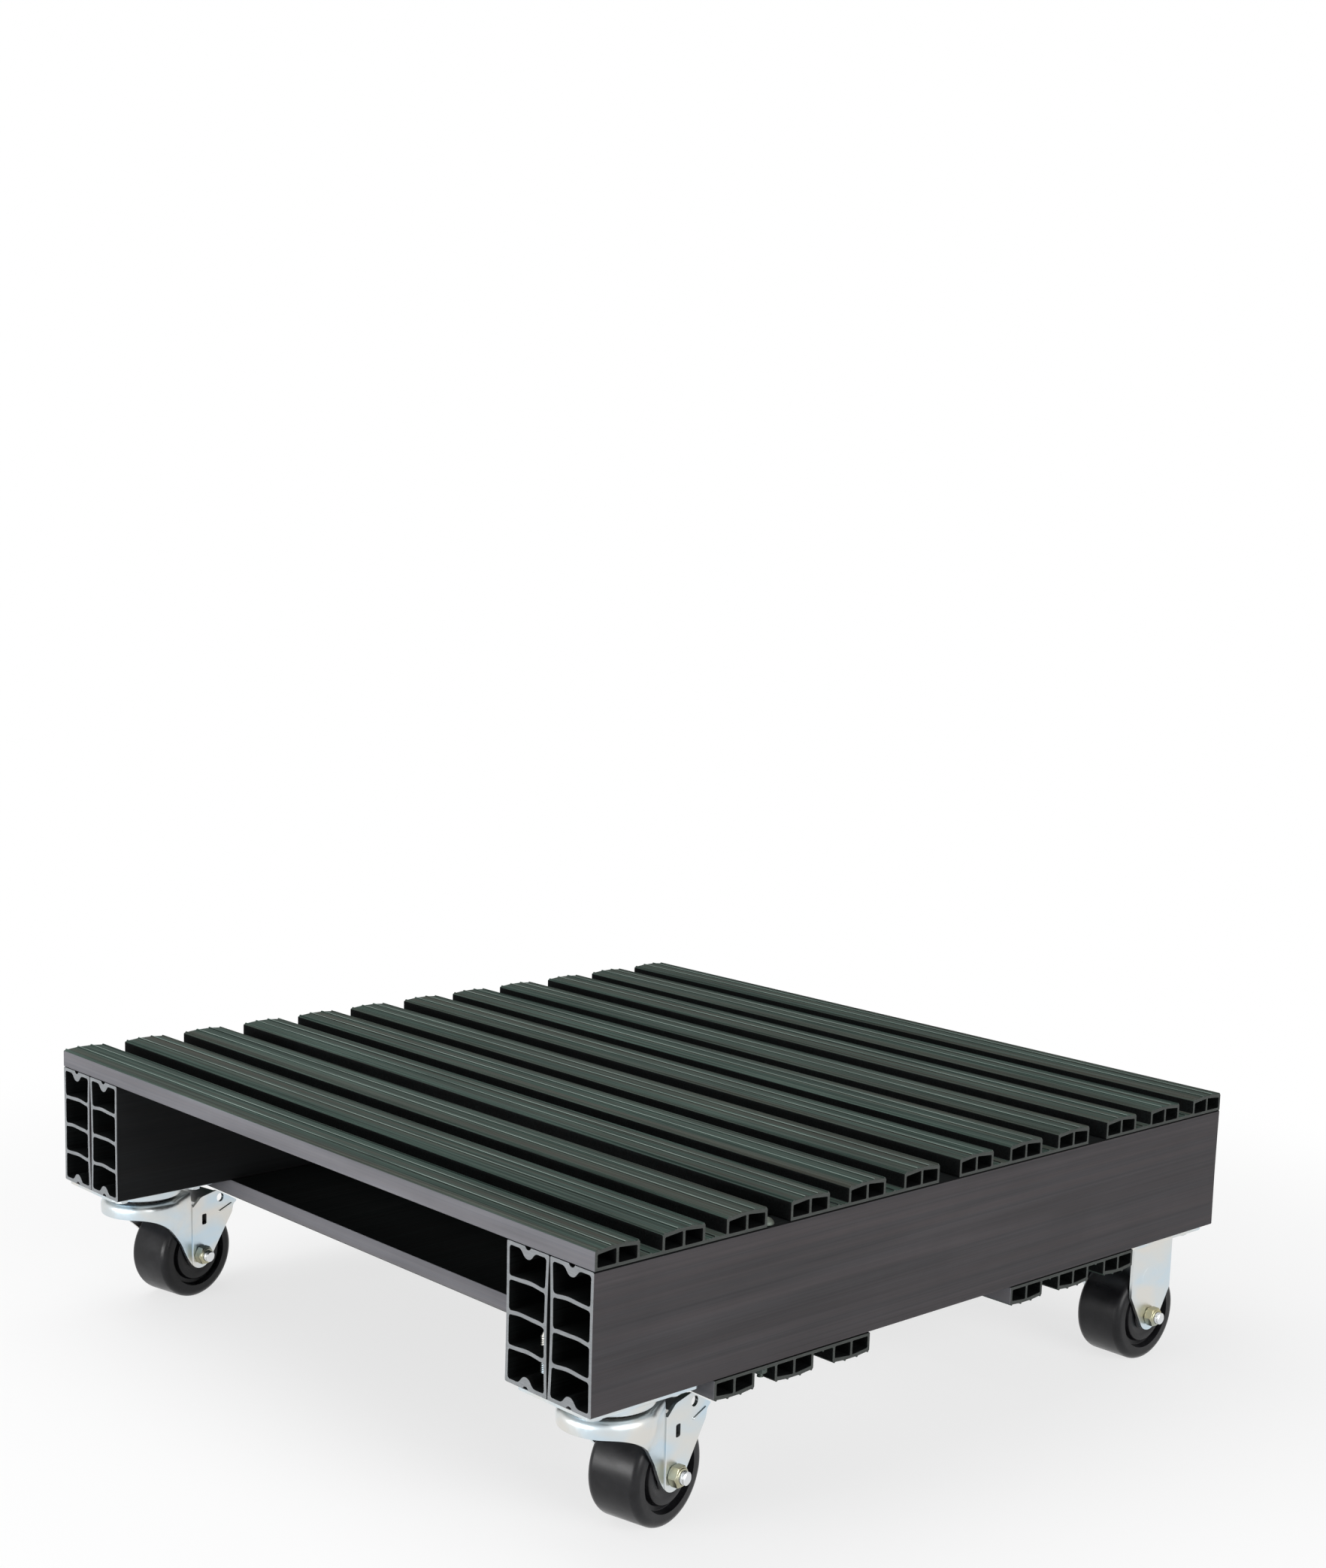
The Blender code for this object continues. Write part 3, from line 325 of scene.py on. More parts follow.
def rounded_rectangle(x, y, width, height, radius, steps):
    """A rectangle about a point, with rounded corners."""
    dx, dy = width / 2 - radius, height / 2 - radius
    return (arc(x + dx, y - dy, radius, -90, 0, steps) + arc(x + dx, y + dy, radius, 0, 90, steps)
            + arc(x - dx, y + dy, radius, 90, 180, steps) + arc(x - dx, y - dy, radius, 180, 270, steps))


# ---- solids

def extruded(outline, holes, start, end, axes, edge=SAWN_EDGE):
    """A straight solid with chamfered ends, which take the second material; its cells take the third, painted
    shade.
    """
    bm = bmesh.new()
    caps = ([], [])
    loops = [oriented(outline, 1)] + [oriented(hole, -1) for hole in holes]
    for number, loop in enumerate(loops):
        rows = [[bm.verts.new((*point, along)) for point in inset(loop, shrink)]
                for along, shrink in ((start, edge), (start + edge, 0), (end - edge, 0), (end, edge))]
        for lower, upper in zip(rows, rows[1:]):
            for i in range(len(lower)):
                wall = bm.faces.new((lower[i - 1], lower[i], upper[i], upper[i - 1]))
                wall.material_index = SHADE_INDEX if number else 0
        for cap, row in zip(caps, (rows[0], rows[-1])):
            cap += [bm.edges.get((row[i - 1], row[i])) for i in range(len(row))]
    for cap in caps:
        filled = bmesh.ops.triangle_fill(bm, use_beauty=True, edges=cap, normal=(0, 0, 1))
        for face in filled["geom"]:
            if isinstance(face, bmesh.types.BMFace):
                face.material_index = CUT_INDEX
    return finished(bm, axes)


def stacked(rings, axes=ALONG_Z, closed=False):
    """A solid through rings of equal count; in a closed one the last ring meets the first."""
    bm = bmesh.new()
    rows = [[bm.verts.new(point) for point in ring] for ring in rings]
    for lower, upper in zip(rows, rows[1:]):
        for i in range(len(lower)):
            bm.faces.new((lower[i - 1], lower[i], upper[i], upper[i - 1]))
    if closed:
        for i in range(len(rows[0])):
            bm.faces.new((rows[-1][i - 1], rows[-1][i], rows[0][i], rows[0][i - 1]))
    else:
        bm.faces.new(rows[0][::-1])
        bm.faces.new(rows[-1])
    return finished(bm, axes)


def turned(profile, axes=ALONG_Z):
    """A ring turned about Z from a closed profile of radii and heights."""
    bm = bmesh.new()
    verts = [bm.verts.new((radius, 0, height)) for radius, height in profile]
    edges = [bm.edges.new((verts[i - 1], verts[i])) for i in range(len(verts))]
    bmesh.ops.spin(bm, geom=verts + edges, cent=(0, 0, 0), axis=(0, 0, 1), dvec=(0, 0, 0),
                   angle=2 * pi, steps=ROUND_STEPS, use_merge=True)
    return finished(bm, axes)


def finished(bm, axes=ALONG_Z):
    """A mesh from the bmesh under a matrix, with its faces out."""
    bmesh.ops.transform(bm, matrix=axes, verts=bm.verts)
    bmesh.ops.recalc_face_normals(bm, faces=bm.faces)
    mesh = bpy.data.meshes.new("piece")
    bm.to_mesh(mesh)
    bm.free()
    return smoothed(mesh)


def smoothed(mesh):
    mesh.shade_smooth()
    mesh.set_sharp_from_angle(angle=SHARP_ANGLE)
    return mesh


def joined(meshes):
    bm = bmesh.new()
    for mesh in meshes:
        bm.from_mesh(mesh)
    return finished(bm)


def moved(mesh, matrix):
    """A copy of the mesh under a matrix."""
    copy = mesh.copy()
    copy.transform(matrix)
    if matrix.determinant() < 0:
        copy.flip_normals()
    return copy


def linked(name, data):
    """A new object in the scene."""
    item = bpy.data.objects.new(name, data)
    studio.collection.objects.link(item)
    return item


def carved(mesh, steps):
    """The mesh after a list of (operation, cutter mesh) Booleans."""
    item = linked("carved", mesh)
    tools = []
    for operation, cutter in steps:
        tools.append(linked("cutter", cutter))
        modifier = item.modifiers.new("cut", "BOOLEAN")
        modifier.operation = operation
        modifier.solver = "EXACT"
        modifier.object = tools[-1]
    bpy.context.view_layer.update()
    result = bpy.data.meshes.new_from_object(item.evaluated_get(bpy.context.evaluated_depsgraph_get()))
    for tool in tools + [item]:
        bpy.data.objects.remove(tool)
    result.materials.clear()
    return smoothed(result)


def add_piece(name, mesh, materials, node, slot):
    """A world-space mesh that stands for a CAD node, on that node's body."""
    item = linked(name, mesh)
    for material in materials:
        mesh.materials.append(material)
    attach(item, frame["nodes"][node]["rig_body"])
    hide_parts(node)


def middle_of(node):
    low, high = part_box(node)
    return (low + high) / 2


def round_ring(radius, height, count=SMALL_STEPS):
    return [(x, y, height) for x, y in circle(0, 0, radius, count)]


def round_rings(*sizes):
    return [round_ring(radius, height) for radius, height in sizes]


def dome_rings(radius, height, base, angles):
    """A dome on its base, or hanging under it where its height is negative."""
    return [round_ring(radius * cos(radians(a)), base + height * sin(radians(a))) for a in angles]


def hexagon_ring(flats, height, cone):
    """A hexagon with its corners turned down to a cone's radius."""
    angles = [2 * pi * i / SMALL_STEPS for i in range(SMALL_STEPS)]
    return [(*polar(min(flats / 2 / cos(angle % (pi / 3) - pi / 6), cone), angle), height)
            for angle in angles]


def hexagon_rings(flats, low, high, top_chamfer=True):
    """A nut or head with its ends chamfered by a cone of 30 degrees."""
    inner, outer = flats / 2 * 0.95, flats / 2 / cos(pi / 6)
    steps = [(share, inner + (outer - inner) * share) for share in (0, 0.25, 0.5, 0.75, 1)]
    depth = (outer - inner) * tan(radians(30))
    lower = [hexagon_ring(flats, low + depth * share, cone) for share, cone in steps]
    upper = [hexagon_ring(flats, high - depth * share, cone) for share, cone in steps[::-1]]
    return lower + (upper if top_chamfer else [hexagon_ring(flats, high, outer)])


def head_rings(flats, low, high, washer, shank):
    """A hexagon head with a washer face on its upper side, up to its shank."""
    face = high - washer
    return (hexagon_rings(flats, low, face, False)
            + round_rings((flats / 2, face), (flats / 2, high), (shank, high)))


def thread_rings(radius, start, end, pitch, share):
    """A screw thread as deep as a share of its radius; it fades out at its ends."""
    rings = []
    steps = int(abs(end - start) / pitch * 6)
    for i in range(steps + 1):
        height = start + (end - start) * i / steps
        fade = min(1.0, i / 6, (steps - i) / 6)
        ring = []
        for j in range(SMALL_STEPS):
            phase = (height / pitch - j / SMALL_STEPS) % 1.0
            local = radius - radius * share * fade * abs(2 * phase - 1) ** 0.8
            ring.append((*polar(local, 2 * pi * j / SMALL_STEPS), height))
        rings.append(ring)
    return rings


# ---- materials

def fill(tree, socket, value):
    """Gives an input a link, a number, a vector or a colour."""
    if isinstance(value, bpy.types.NodeSocket):
        tree.links.new(value, socket)
    else:
        socket.default_value = (*value, 1) if socket.type == "RGBA" else value


def new_node(tree, kind, inputs=(), **settings):
    """A node with (input, value) pairs filled in; returns its outputs."""
    node = tree.nodes.new("ShaderNode" + kind)
    for name, value in settings.items():
        setattr(node, name, value)
    for socket, value in inputs:
        fill(tree, node.inputs[socket], value)
    return node.outputs


def combined(tree, operation, first, second):
    return new_node(tree, "Math", ((0, first), (1, second)), operation=operation)[0]


def drive(tree, socket, value):
    fill(tree, tree.nodes["Principled BSDF"].inputs[socket], value)


def new_material(name, colour, roughness, metallic=0.0, gloss=0.5):
    """A Principled material and its node tree."""
    material = bpy.data.materials.new(name)
    material.use_nodes = True
    tree = material.node_tree
    for socket, value in (("Base Color", colour), ("Roughness", roughness), ("Metallic", metallic),
                          ("Specular IOR Level", gloss)):
        drive(tree, socket, value)
    return material, tree


def noise(tree, scales, detail=4.0, roughness=0.6, distortion=0.0):
    """A noise over object coordinates, with a scale for each axis."""
    place = new_node(tree, "TexCoord")["Object"]
    stretched = new_node(tree, "Mapping", (("Vector", place), ("Scale", scales)))["Vector"]
    inputs = (("Vector", stretched), ("Scale", 1.0), ("Detail", detail), ("Roughness", roughness),
              ("Distortion", distortion))
    return new_node(tree, "TexNoise", inputs)["Fac"]


def ramp(tree, value, stops):
    """A ramp of greys over a value; stops are (position, grey)."""
    node = tree.nodes.new("ShaderNodeValToRGB")
    fill(tree, node.inputs["Fac"], value)
    elements = node.color_ramp.elements
    while len(elements) < len(stops):
        elements.new(0.5)
    for element, (position, grey) in zip(elements, stops):
        element.position = position
        element.color = (grey, grey, grey, 1)
    return node.outputs["Color"]


def blended(tree, factor, first, second):
    """Mixes two colours; all three may be sockets."""
    return new_node(tree, "Mix", ((0, factor), (6, first), (7, second)), data_type="RGBA")[2]


def bumped(tree, heights):
    """Chains (height socket, strength, distance) into the shader's normal."""
    below = ()
    for height, strength, distance in heights:
        inputs = (("Height", height), ("Strength", strength), ("Distance", distance), *below)
        normal = new_node(tree, "Bump", inputs)["Normal"]
        below = (("Normal", normal),)
    drive(tree, "Normal", normal)


def lengthwise(direction, across, along):
    """Noise scales that draw streaks along one axis."""
    return tuple(along if axis == direction else across for axis in "XYZ")


def extruded_plastic(name, colours, direction, roughness, gloss, contrast=1.0):
    """Extruded plastic: fine and broad streaks along it, faint clouds and pits."""
    dark, light, warm = colours
    material, tree = new_material(name, dark, roughness, gloss=gloss)
    fine = noise(tree, lengthwise(direction, 520, 2.2))
    broad = noise(tree, lengthwise(direction, 50, 3.5), 3.0, 0.55)
    hue = noise(tree, lengthwise(direction, 150, 0.9), 2.0, 0.5)
    cloud = noise(tree, (7, 7, 7), distortion=0.4)
    pits = noise(tree, (900, 900, 900), 2.0, 0.5)
    colour = blended(tree, ramp(tree, fine, [(0.34, 0), (0.68, contrast)]), dark, light)
    colour = blended(tree, ramp(tree, hue, [(0.42, 0), (0.72, 0.55)]), colour, warm)
    colour = blended(tree, ramp(tree, broad, [(0.3, 0.72), (0.7, 1)]), (0, 0, 0), colour)
    colour = blended(tree, ramp(tree, cloud, [(0.3, 0.88), (0.7, 1)]), (0, 0, 0), colour)
    drive(tree, "Base Color", colour)
    drive(tree, "Roughness", ramp(tree, broad, [(0.3, roughness - 0.06), (0.75, roughness + 0.1)]))
    bumped(tree, [(fine, 0.1, 0.0003), (pits, 0.05, 0.0002)])
    return material


def add_ridge_shade_wear_and_highlight(tree):
    """Painted shade darkens the deck ridges' flanks, and the crests turn bright in patches, for wear and a
    painted highlight.
    """
    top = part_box("deck_board_1")[1].z
    level = new_node(tree, "SeparateXYZ", ((0, new_node(tree, "TexCoord")["Object"]),))["Z"]
    inputs = (("Value", level), ("From Min", top - RIDGE_HEIGHT), ("From Max", top))
    height = new_node(tree, "MapRange", inputs)["Result"]
    # The flanks' darkening is painted shade; the crests' patchy brightening is wear and a painted highlight.
    flank = ramp(tree, height, [(0.02, 1), (0.12, 0.35), (0.5, 0.35), (0.62, 1)])
    crest = ramp(tree, height, [(0.6, 0), (0.74, 1)])
    crest_wear_and_highlight = noise(tree, lengthwise("Y", 300, 5), 4.0, 0.65)
    patchy = ramp(tree, crest_wear_and_highlight, [(0.32, 0.25), (0.62, 1)])
    plain = tree.nodes["Principled BSDF"].inputs["Base Color"].links[0].from_socket
    colour = blended(tree, flank, RIDGE_PAINTED_SHADE, plain)
    drive(tree, "Base Color", blended(tree, combined(tree, "MULTIPLY", crest, patchy), colour, RIDGE_WEAR_AND_HIGHLIGHT))


def sawn_plastic(name, dark, light, direction):
    """A saw-cut end: paler, matt, with fine marks across it."""
    material, tree = new_material(name, dark, 0.62, gloss=0.3)
    marks = noise(tree, lengthwise(direction, 1300, 60), 3.0, 0.6)
    cloud = noise(tree, (70, 70, 70))
    colour = blended(tree, ramp(tree, marks, [(0.3, 0), (0.75, 1)]), dark, light)
    colour = blended(tree, ramp(tree, cloud, [(0.3, 0.82), (0.7, 1)]), (0, 0, 0), colour)
    drive(tree, "Base Color", colour)
    bumped(tree, [(marks, 0.22, 0.0003)])
    return material


def plating(name, base, cool, warm, roughness, tint):
    """Plated steel: cool and warm tints in slow clouds, and fine scuffs."""
    material, tree = new_material(name, base, roughness, 1.0)
    clouds = noise(tree, (17, 17, 30), 2.0, 0.45, 0.6)
    scuffs = noise(tree, (260, 260, 260))
    colour = blended(tree, ramp(tree, clouds, [(0.3, 0), (0.66, 1)]), cool, warm)
    colour = blended(tree, tint, base, colour)
    drive(tree, "Base Color", colour)
    low, high = roughness - 0.03, roughness + 0.05
    drive(tree, "Roughness", ramp(tree, scuffs, [(0.35, low), (0.72, high)]))
    bumped(tree, [(scuffs, 0.008, 0.0002)])
    return material


def moulded_plastic(name, dark, worn, roughness):
    """Moulded wheel plastic: satin, with faint dusty wear and a fine texture."""
    material, tree = new_material(name, dark, roughness, gloss=0.22)
    cloud = noise(tree, (45, 45, 45), 5.0, 0.6, 0.3)
    grain = noise(tree, (1300, 1300, 1300), 2.0, 0.5)
    drag = noise(tree, (60, 18, 60), 4.0, 0.65)
    colour = blended(tree, ramp(tree, cloud, [(0.42, 0), (0.8, 1)]), dark, worn)
    drive(tree, "Base Color", colour)
    drive(tree, "Roughness", ramp(tree, drag, [(0.3, roughness - 0.06), (0.75, roughness + 0.12)]))
    bumped(tree, [(grain, 0.04, 0.0002), (cloud, 0.03, 0.0008)])
    return material


GREENISH = ((0.012, 0.022, 0.018), (0.088, 0.13, 0.112), (0.092, 0.078, 0.066))
# A lighter, purplish copy of the deck's colours: painted light for the boards' outermost sides.
PURPLISH_PAINTED_LIGHT = ((0.15, 0.15, 0.165), (0.19, 0.19, 0.205), (0.18, 0.168, 0.172))
CHARCOAL = ((0.05, 0.048, 0.051), (0.078, 0.073, 0.078), (0.078, 0.066, 0.068))
# A darker copy of the beam plastic: painted shade for the inner planks.
CHARCOAL_PAINTED_SHADE = ((0.016, 0.017, 0.018), (0.024, 0.025, 0.026), (0.021, 0.02, 0.02))
# Near black: painted shade for cell walls, walls down in gaps, undersides and the joints under the boards.
SHADED = ((0.005, 0.006, 0.006), (0.012, 0.014, 0.014), (0.01, 0.009, 0.009))
DECK = extruded_plastic("deck_plastic", GREENISH, "Y", 0.62, 0.03)
DECK_SIDE_PAINTED_LIGHT = extruded_plastic("deck_side_painted_light", PURPLISH_PAINTED_LIGHT, "Y", 0.6, 0.1, 0.6)
BEAM = extruded_plastic("beam_plastic", CHARCOAL, "X", 0.55, 0.12, 0.5)
BEAM_INSIDE_PAINTED_SHADE = extruded_plastic("beam_inside_painted_shade", CHARCOAL_PAINTED_SHADE, "X", 0.6, 0.06, 0.5)
CELL_PAINTED_SHADE = extruded_plastic("cell_painted_shade", SHADED, "X", 0.7, 0.02)
DECK_CUT = sawn_plastic("deck_cut", (0.03, 0.034, 0.031), (0.056, 0.062, 0.058), "X")
BEAM_CUT = sawn_plastic("beam_cut", (0.17, 0.18, 0.188), (0.23, 0.242, 0.252), "Y")
ZINC = plating("zinc_plating", (0.62, 0.67, 0.71), (0.46, 0.62, 0.72), (0.7, 0.63, 0.52), 0.32, 0.5)
BRIGHT_ZINC = plating("bright_zinc", (0.66, 0.68, 0.7), (0.6, 0.66, 0.72), (0.7, 0.68, 0.62), 0.31, 0.3)
YELLOW_ZINC = plating("yellow_zinc", (0.36, 0.36, 0.27), (0.32, 0.36, 0.34), (0.42, 0.37, 0.2), 0.31, 0.7)
STEEL = plating("plain_steel", (0.3, 0.29, 0.28), (0.3, 0.31, 0.33), (0.38, 0.32, 0.24), 0.36, 0.4)
# Darkened, greenish steel: painted shade and a painted reflection of the deck for the bolts and lag screws.
STEEL_PAINTED_SHADE = plating("steel_painted_shade", (0.09, 0.115, 0.105), (0.08, 0.11, 0.115), (0.12, 0.11, 0.08), 0.58, 0.5)
# Near black steel: painted shade for the balls and cage in the bearing's gap.
BEARING_PAINTED_SHADE = plating("bearing_steel_painted_shade", (0.05, 0.05, 0.05), (0.05, 0.05, 0.055), (0.07, 0.055, 0.04), 0.45, 0.5)
WHEEL = moulded_plastic("wheel_plastic", (0.006, 0.006, 0.007), (0.016, 0.016, 0.018), 0.31)
add_ridge_shade_wear_and_highlight(DECK.node_tree)


# ---- boards

def bar_top(left):
    """The ridged and crowned top of one bar, from right to left."""
    right = left + BAR_WIDTH
    slope = RIDGE_WIDTH / 4
    points = [(right, BAR_HEIGHT - slope), (right - slope, BAR_HEIGHT)]
    for share in reversed(RIDGE_PLACES):
        middle = left + share * BAR_WIDTH
        points += [(middle + RIDGE_WIDTH / 2 - slope / 4, BAR_HEIGHT), (middle + slope, BOARD_HEIGHT),
                   (middle - slope, BOARD_HEIGHT), (middle - RIDGE_WIDTH / 2 + slope / 4, BAR_HEIGHT)]
    points += [(left + slope, BAR_HEIGHT), (left, BAR_HEIGHT - slope)]
    centre = left + BAR_WIDTH / 2
    return [(x, height - BAR_CROWN * (2 * abs(x - centre) / BAR_WIDTH) ** 3) for x, height in points]


def board_outline():
    """The board's cut end, its flat underside at 0."""
    points = [(0, 0), (BOARD_WIDTH, 0)]
    for bar in reversed(range(BARS)):
        left = bar * (BAR_WIDTH + WEB_WIDTH)
        points += bar_top(left)
        if bar:
            middle = left - WEB_WIDTH / 2
            half = WEB_RIB_WIDTH / 2
            points += [(left, WEB_THICKNESS), (middle + half, WEB_THICKNESS),
                       (middle + half / 2, WEB_THICKNESS + WEB_RIB_HEIGHT),
                       (middle - half / 2, WEB_THICKNESS + WEB_RIB_HEIGHT),
                       (middle - half, WEB_THICKNESS), (left - WEB_WIDTH, WEB_THICKNESS)]
    return rounded(points, BOARD_CORNER)


def board_cells():
    cells = []
    cell_width = (BAR_WIDTH - 3 * BOARD_WALL) / 2
    for bar in range(BARS):
        for cell in range(2):
            left = bar * (BAR_WIDTH + WEB_WIDTH) + BOARD_WALL + cell * (cell_width + BOARD_WALL)
            right = left + cell_width
            roof = BAR_HEIGHT - BOARD_WALL
            corners = [(left, BOARD_WALL), (right, BOARD_WALL),
                       (right, roof - BAR_CROWN * cell), (left, roof - BAR_CROWN * (1 - cell))]
            cells.append(rounded(corners, BOARD_CORNER))
    return cells


def add_boards():
    low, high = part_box("deck_board_1")
    half = (high.y - low.y) / 2
    upright = extruded(board_outline(), board_cells(), -half, half, ALONG_Y)
    for face in upright.polygons:
        if face.material_index != 0:
            continue
        side, level, lean = face.center.x, face.center.z, face.normal
        # Outer sides take painted light or painted shade; walls low in the gaps and faces underneath take
        # painted shade.
        if side < BOARD_CORNER / 2:
            face.material_index = LEFT_INDEX
        elif side > BOARD_WIDTH - BOARD_CORNER / 2:
            face.material_index = RIGHT_INDEX
        elif abs(lean.x) > UPRIGHT and level < BAR_HEIGHT - RIDGE_WIDTH or lean.z < -UPRIGHT:
            face.material_index = SHADE_INDEX
    for node in frame["nodes"]:
        deck = node.startswith("deck_board")
        if not deck and not node.startswith("bottom_board"):
            continue
        low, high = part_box(node)
        place = Matrix.Translation((low.x, 0, low.z if deck else high.z))
        mesh = moved(upright, place @ Matrix.Diagonal((1, 1, 1 if deck else -1, 1)))
        # End boards' outer sides and the bottom boards' sides take the painted light colour; a deck board's
        # side that meets a neighbour takes painted shade.
        sides = [CELL_PAINTED_SHADE if deck and node != end else DECK_SIDE_PAINTED_LIGHT for end in DECK_ENDS]
        add_piece(node + "_profile", mesh, (DECK, DECK_CUT, CELL_PAINTED_SHADE, *sides), node, "board_plastic")


# ---- beams

def groove(middle, level, direction):
    """A round groove in a flat wall; direction is +1 for the bottom wall, -1 for the top."""
    centre = level - direction * (GROOVE_RADIUS - GROOVE_DEPTH)
    reach = degrees(asin((GROOVE_RADIUS - GROOVE_DEPTH) / GROOVE_RADIUS))
    start, end = (180 - reach, reach) if direction > 0 else (-reach, reach - 180)
    return arc(middle, centre, GROOVE_RADIUS, start, end, 10)


def wall_bow(depth, share):
    """How far a wall draws in at a share of the plank's height."""
    return depth * sin(pi * share)


def plank_outline(width, height):
    """The plank's cut end; the seam side is at across = width."""
    corner = PLANK_CORNER
    shares = [i / 16 for i in range(1, 16)]
    seam_wall = [(width - wall_bow(SEAM_BOW, share), height * share) for share in shares]
    face_wall = [(wall_bow(FACE_BOW, share), height * share) for share in shares[::-1]]
    return (groove(width / 2, 0, 1) + arc(width - corner, corner, corner, -90, 0, 4) + seam_wall
            + arc(width - corner, height - corner, corner, 0, 90, 4) + groove(width / 2, height, -1)
            + arc(corner, height - corner, corner, 90, 180, 4) + face_wall
            + arc(corner, corner, corner, 180, 270, 4))


def bead(middle, level, direction):
    """A bead with hollow flanks on the inside of a wall, left to right."""
    tip = (middle, level + direction * BEAD_RADIUS)
    left, right = (middle - BEAD_REACH, level), (middle + BEAD_REACH, level)
    steep = BEAD_REACH * CORNER_PULL
    return ([left] + bezier(left, (middle - steep, level), (middle - steep, tip[1]), tip, 8)
            + bezier(tip, (middle + steep, tip[1]), (middle + steep, level), right, 8))


def web_side(left, right, level):
    """One side of a web between two cells, left to right: it arches in slow waves."""
    points = []
    for i in range(1, 16):
        share = i / 16
        wave = sin(WEB_WAVES * pi * share + level * WAVE_SHIFT)
        rise = WEB_RISE * sin(pi * share) + WEB_WAVE * wave
        points.append((left + share * (right - left), level + rise))
    return points


def plank_cells(width, beam_height):
    """The cells from the lowest up, between the bowed walls and the arched webs."""
    cells = []
    height = (beam_height - 2 * PLANK_WALL - (PLANK_CELLS - 1) * PLANK_WEB) / PLANK_CELLS
    fillet = CELL_FILLET
    for cell in range(PLANK_CELLS):
        low = PLANK_WALL + cell * (height + PLANK_WEB)
        high = low + height
        left = [PLANK_WALL + wall_bow(FACE_BOW, z / beam_height) for z in (low, high)]
        right = [width - PLANK_WALL - wall_bow(SEAM_BOW, z / beam_height) for z in (low, high)]
        floor = (bead(width / 2, low, 1) if cell == 0
                 else web_side(left[0] + fillet, right[0] - fillet, low))
        roof = (bead(width / 2, high, -1) if cell == PLANK_CELLS - 1
                else web_side(left[1] + fillet, right[1] - fillet, high))
        cells.append(arc(left[0] + fillet, low + fillet, fillet, 180, 270, 4) + floor
                     + arc(right[0] - fillet, low + fillet, fillet, -90, 0, 4)
                     + arc(right[1] - fillet, high - fillet, fillet, 0, 90, 4) + roof[::-1]
                     + arc(left[1] + fillet, high - fillet, fillet, 90, 180, 4))
    return cells


def add_beams():
    for node in frame["nodes"]:
        if not node.endswith("_plank"):
            continue
        low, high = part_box(node)
        width, height = high.y - low.y, high.z - low.z
        seam_at_high = (low.y < 0) == node.endswith("outer_plank")
        flip = Matrix.Diagonal((1, 1 if seam_at_high else -1, 1, 1))
        start = low.y if seam_at_high else high.y
        mesh = extruded(plank_outline(width, height), plank_cells(width, height), low.x, high.x, ALONG_X)
        # Faces on the plank's top, in the joint under the boards, take painted shade.
        for face in mesh.polygons:
            if face.material_index == 0 and face.normal.z > PAINTED_SHADE_SLOPE:
                face.material_index = SHADE_INDEX
        mesh = moved(mesh, Matrix.Translation((0, start, low.z)) @ flip)
        # Inner planks take the darker copy, which is painted shade.
        walls = BEAM if node.endswith("outer_plank") else BEAM_INSIDE_PAINTED_SHADE
        add_piece(node + "_profile", mesh, (walls, BEAM_CUT, CELL_PAINTED_SHADE), node, "beam_plastic")


# ---- fasteners

def screw_mesh(length):
    """Hex-head screw with a washer face; its origin is at the plate's top face."""
    top = -PLATE_DEPTH - SEAT
    rings = head_rings(SCREW_HEAD_FLATS, top - SCREW_HEAD_HEIGHT, top, SCREW_RADIUS / 8, SCREW_RADIUS)
    rings += thread_rings(SCREW_RADIUS, 0, length - SCREW_RADIUS * 1.6, SCREW_PITCH, COARSE)
    return stacked(rings + round_rings((SCREW_RADIUS * 0.15, length)))


def carriage_bolt_mesh(top, bottom):
    """Round-head bolt with its nut, from the head's top to the thread's end."""
    seat, nut_bottom = top - BOLT_HEAD_HEIGHT, bottom + BOLT_TAIL
    nut_top = nut_bottom + BOLT_NUT_HEIGHT
    rings = thread_rings(BOLT_RADIUS, bottom, nut_bottom, BOLT_PITCH, FINE)
    rings += hexagon_rings(BOLT_NUT_FLATS, nut_bottom, nut_top)
    rings += round_rings((BOLT_RADIUS, nut_top), (BOLT_RADIUS, seat))
    return stacked(rings + dome_rings(BOLT_HEAD_RADIUS, BOLT_HEAD_HEIGHT, seat,
                                      (0, 6, 14, 24, 35, 47, 59, 71, 82, 89)))


def lag_screw_mesh(top, bottom):
    """Hex-head wood screw, from its tip to its head's underside."""
    head_top = bottom + BOLT_NUT_HEIGHT
    rings = hexagon_rings(BOLT_NUT_FLATS, bottom, head_top, False) + round_rings((BOLT_RADIUS, head_top))
    rings += thread_rings(BOLT_RADIUS, 0, top - 2 * BOLT_RADIUS, SCREW_PITCH, COARSE)
    return stacked(rings + round_rings((BOLT_RADIUS * 0.2, top)))


def add_fasteners():
    for node in frame["nodes"]:
        low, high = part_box(node)
        if "_screw_" in node:
            plate_top = low.z + PLATE_DEPTH + SEAT + SCREW_HEAD_HEIGHT
            mesh, material = screw_mesh(high.z - plate_top), ZINC
        # Bolts and lag screws take the darkened steel, which is painted shade and a painted reflection of the
        # deck.
        elif node.endswith("_board_bolt"):
            plate_top = high.z - BOLT_HEAD_HEIGHT - BEAM_TOP_OVER_PLATE
            mesh, material = carriage_bolt_mesh(high.z - plate_top, low.z - plate_top), STEEL_PAINTED_SHADE
        elif node.endswith("_lag_screw"):
            plate_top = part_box("front_right_bracket")[1].z
            mesh, material = lag_screw_mesh(high.z - plate_top, low.z - plate_top), STEEL_PAINTED_SHADE
        else:
            continue
        middle = (low + high) / 2
        mesh = moved(mesh, Matrix.Translation((middle.x, middle.y, plate_top)))
        add_piece(node + "_fine", mesh, (material,), node, "zinc")


# ---- wheels and axles

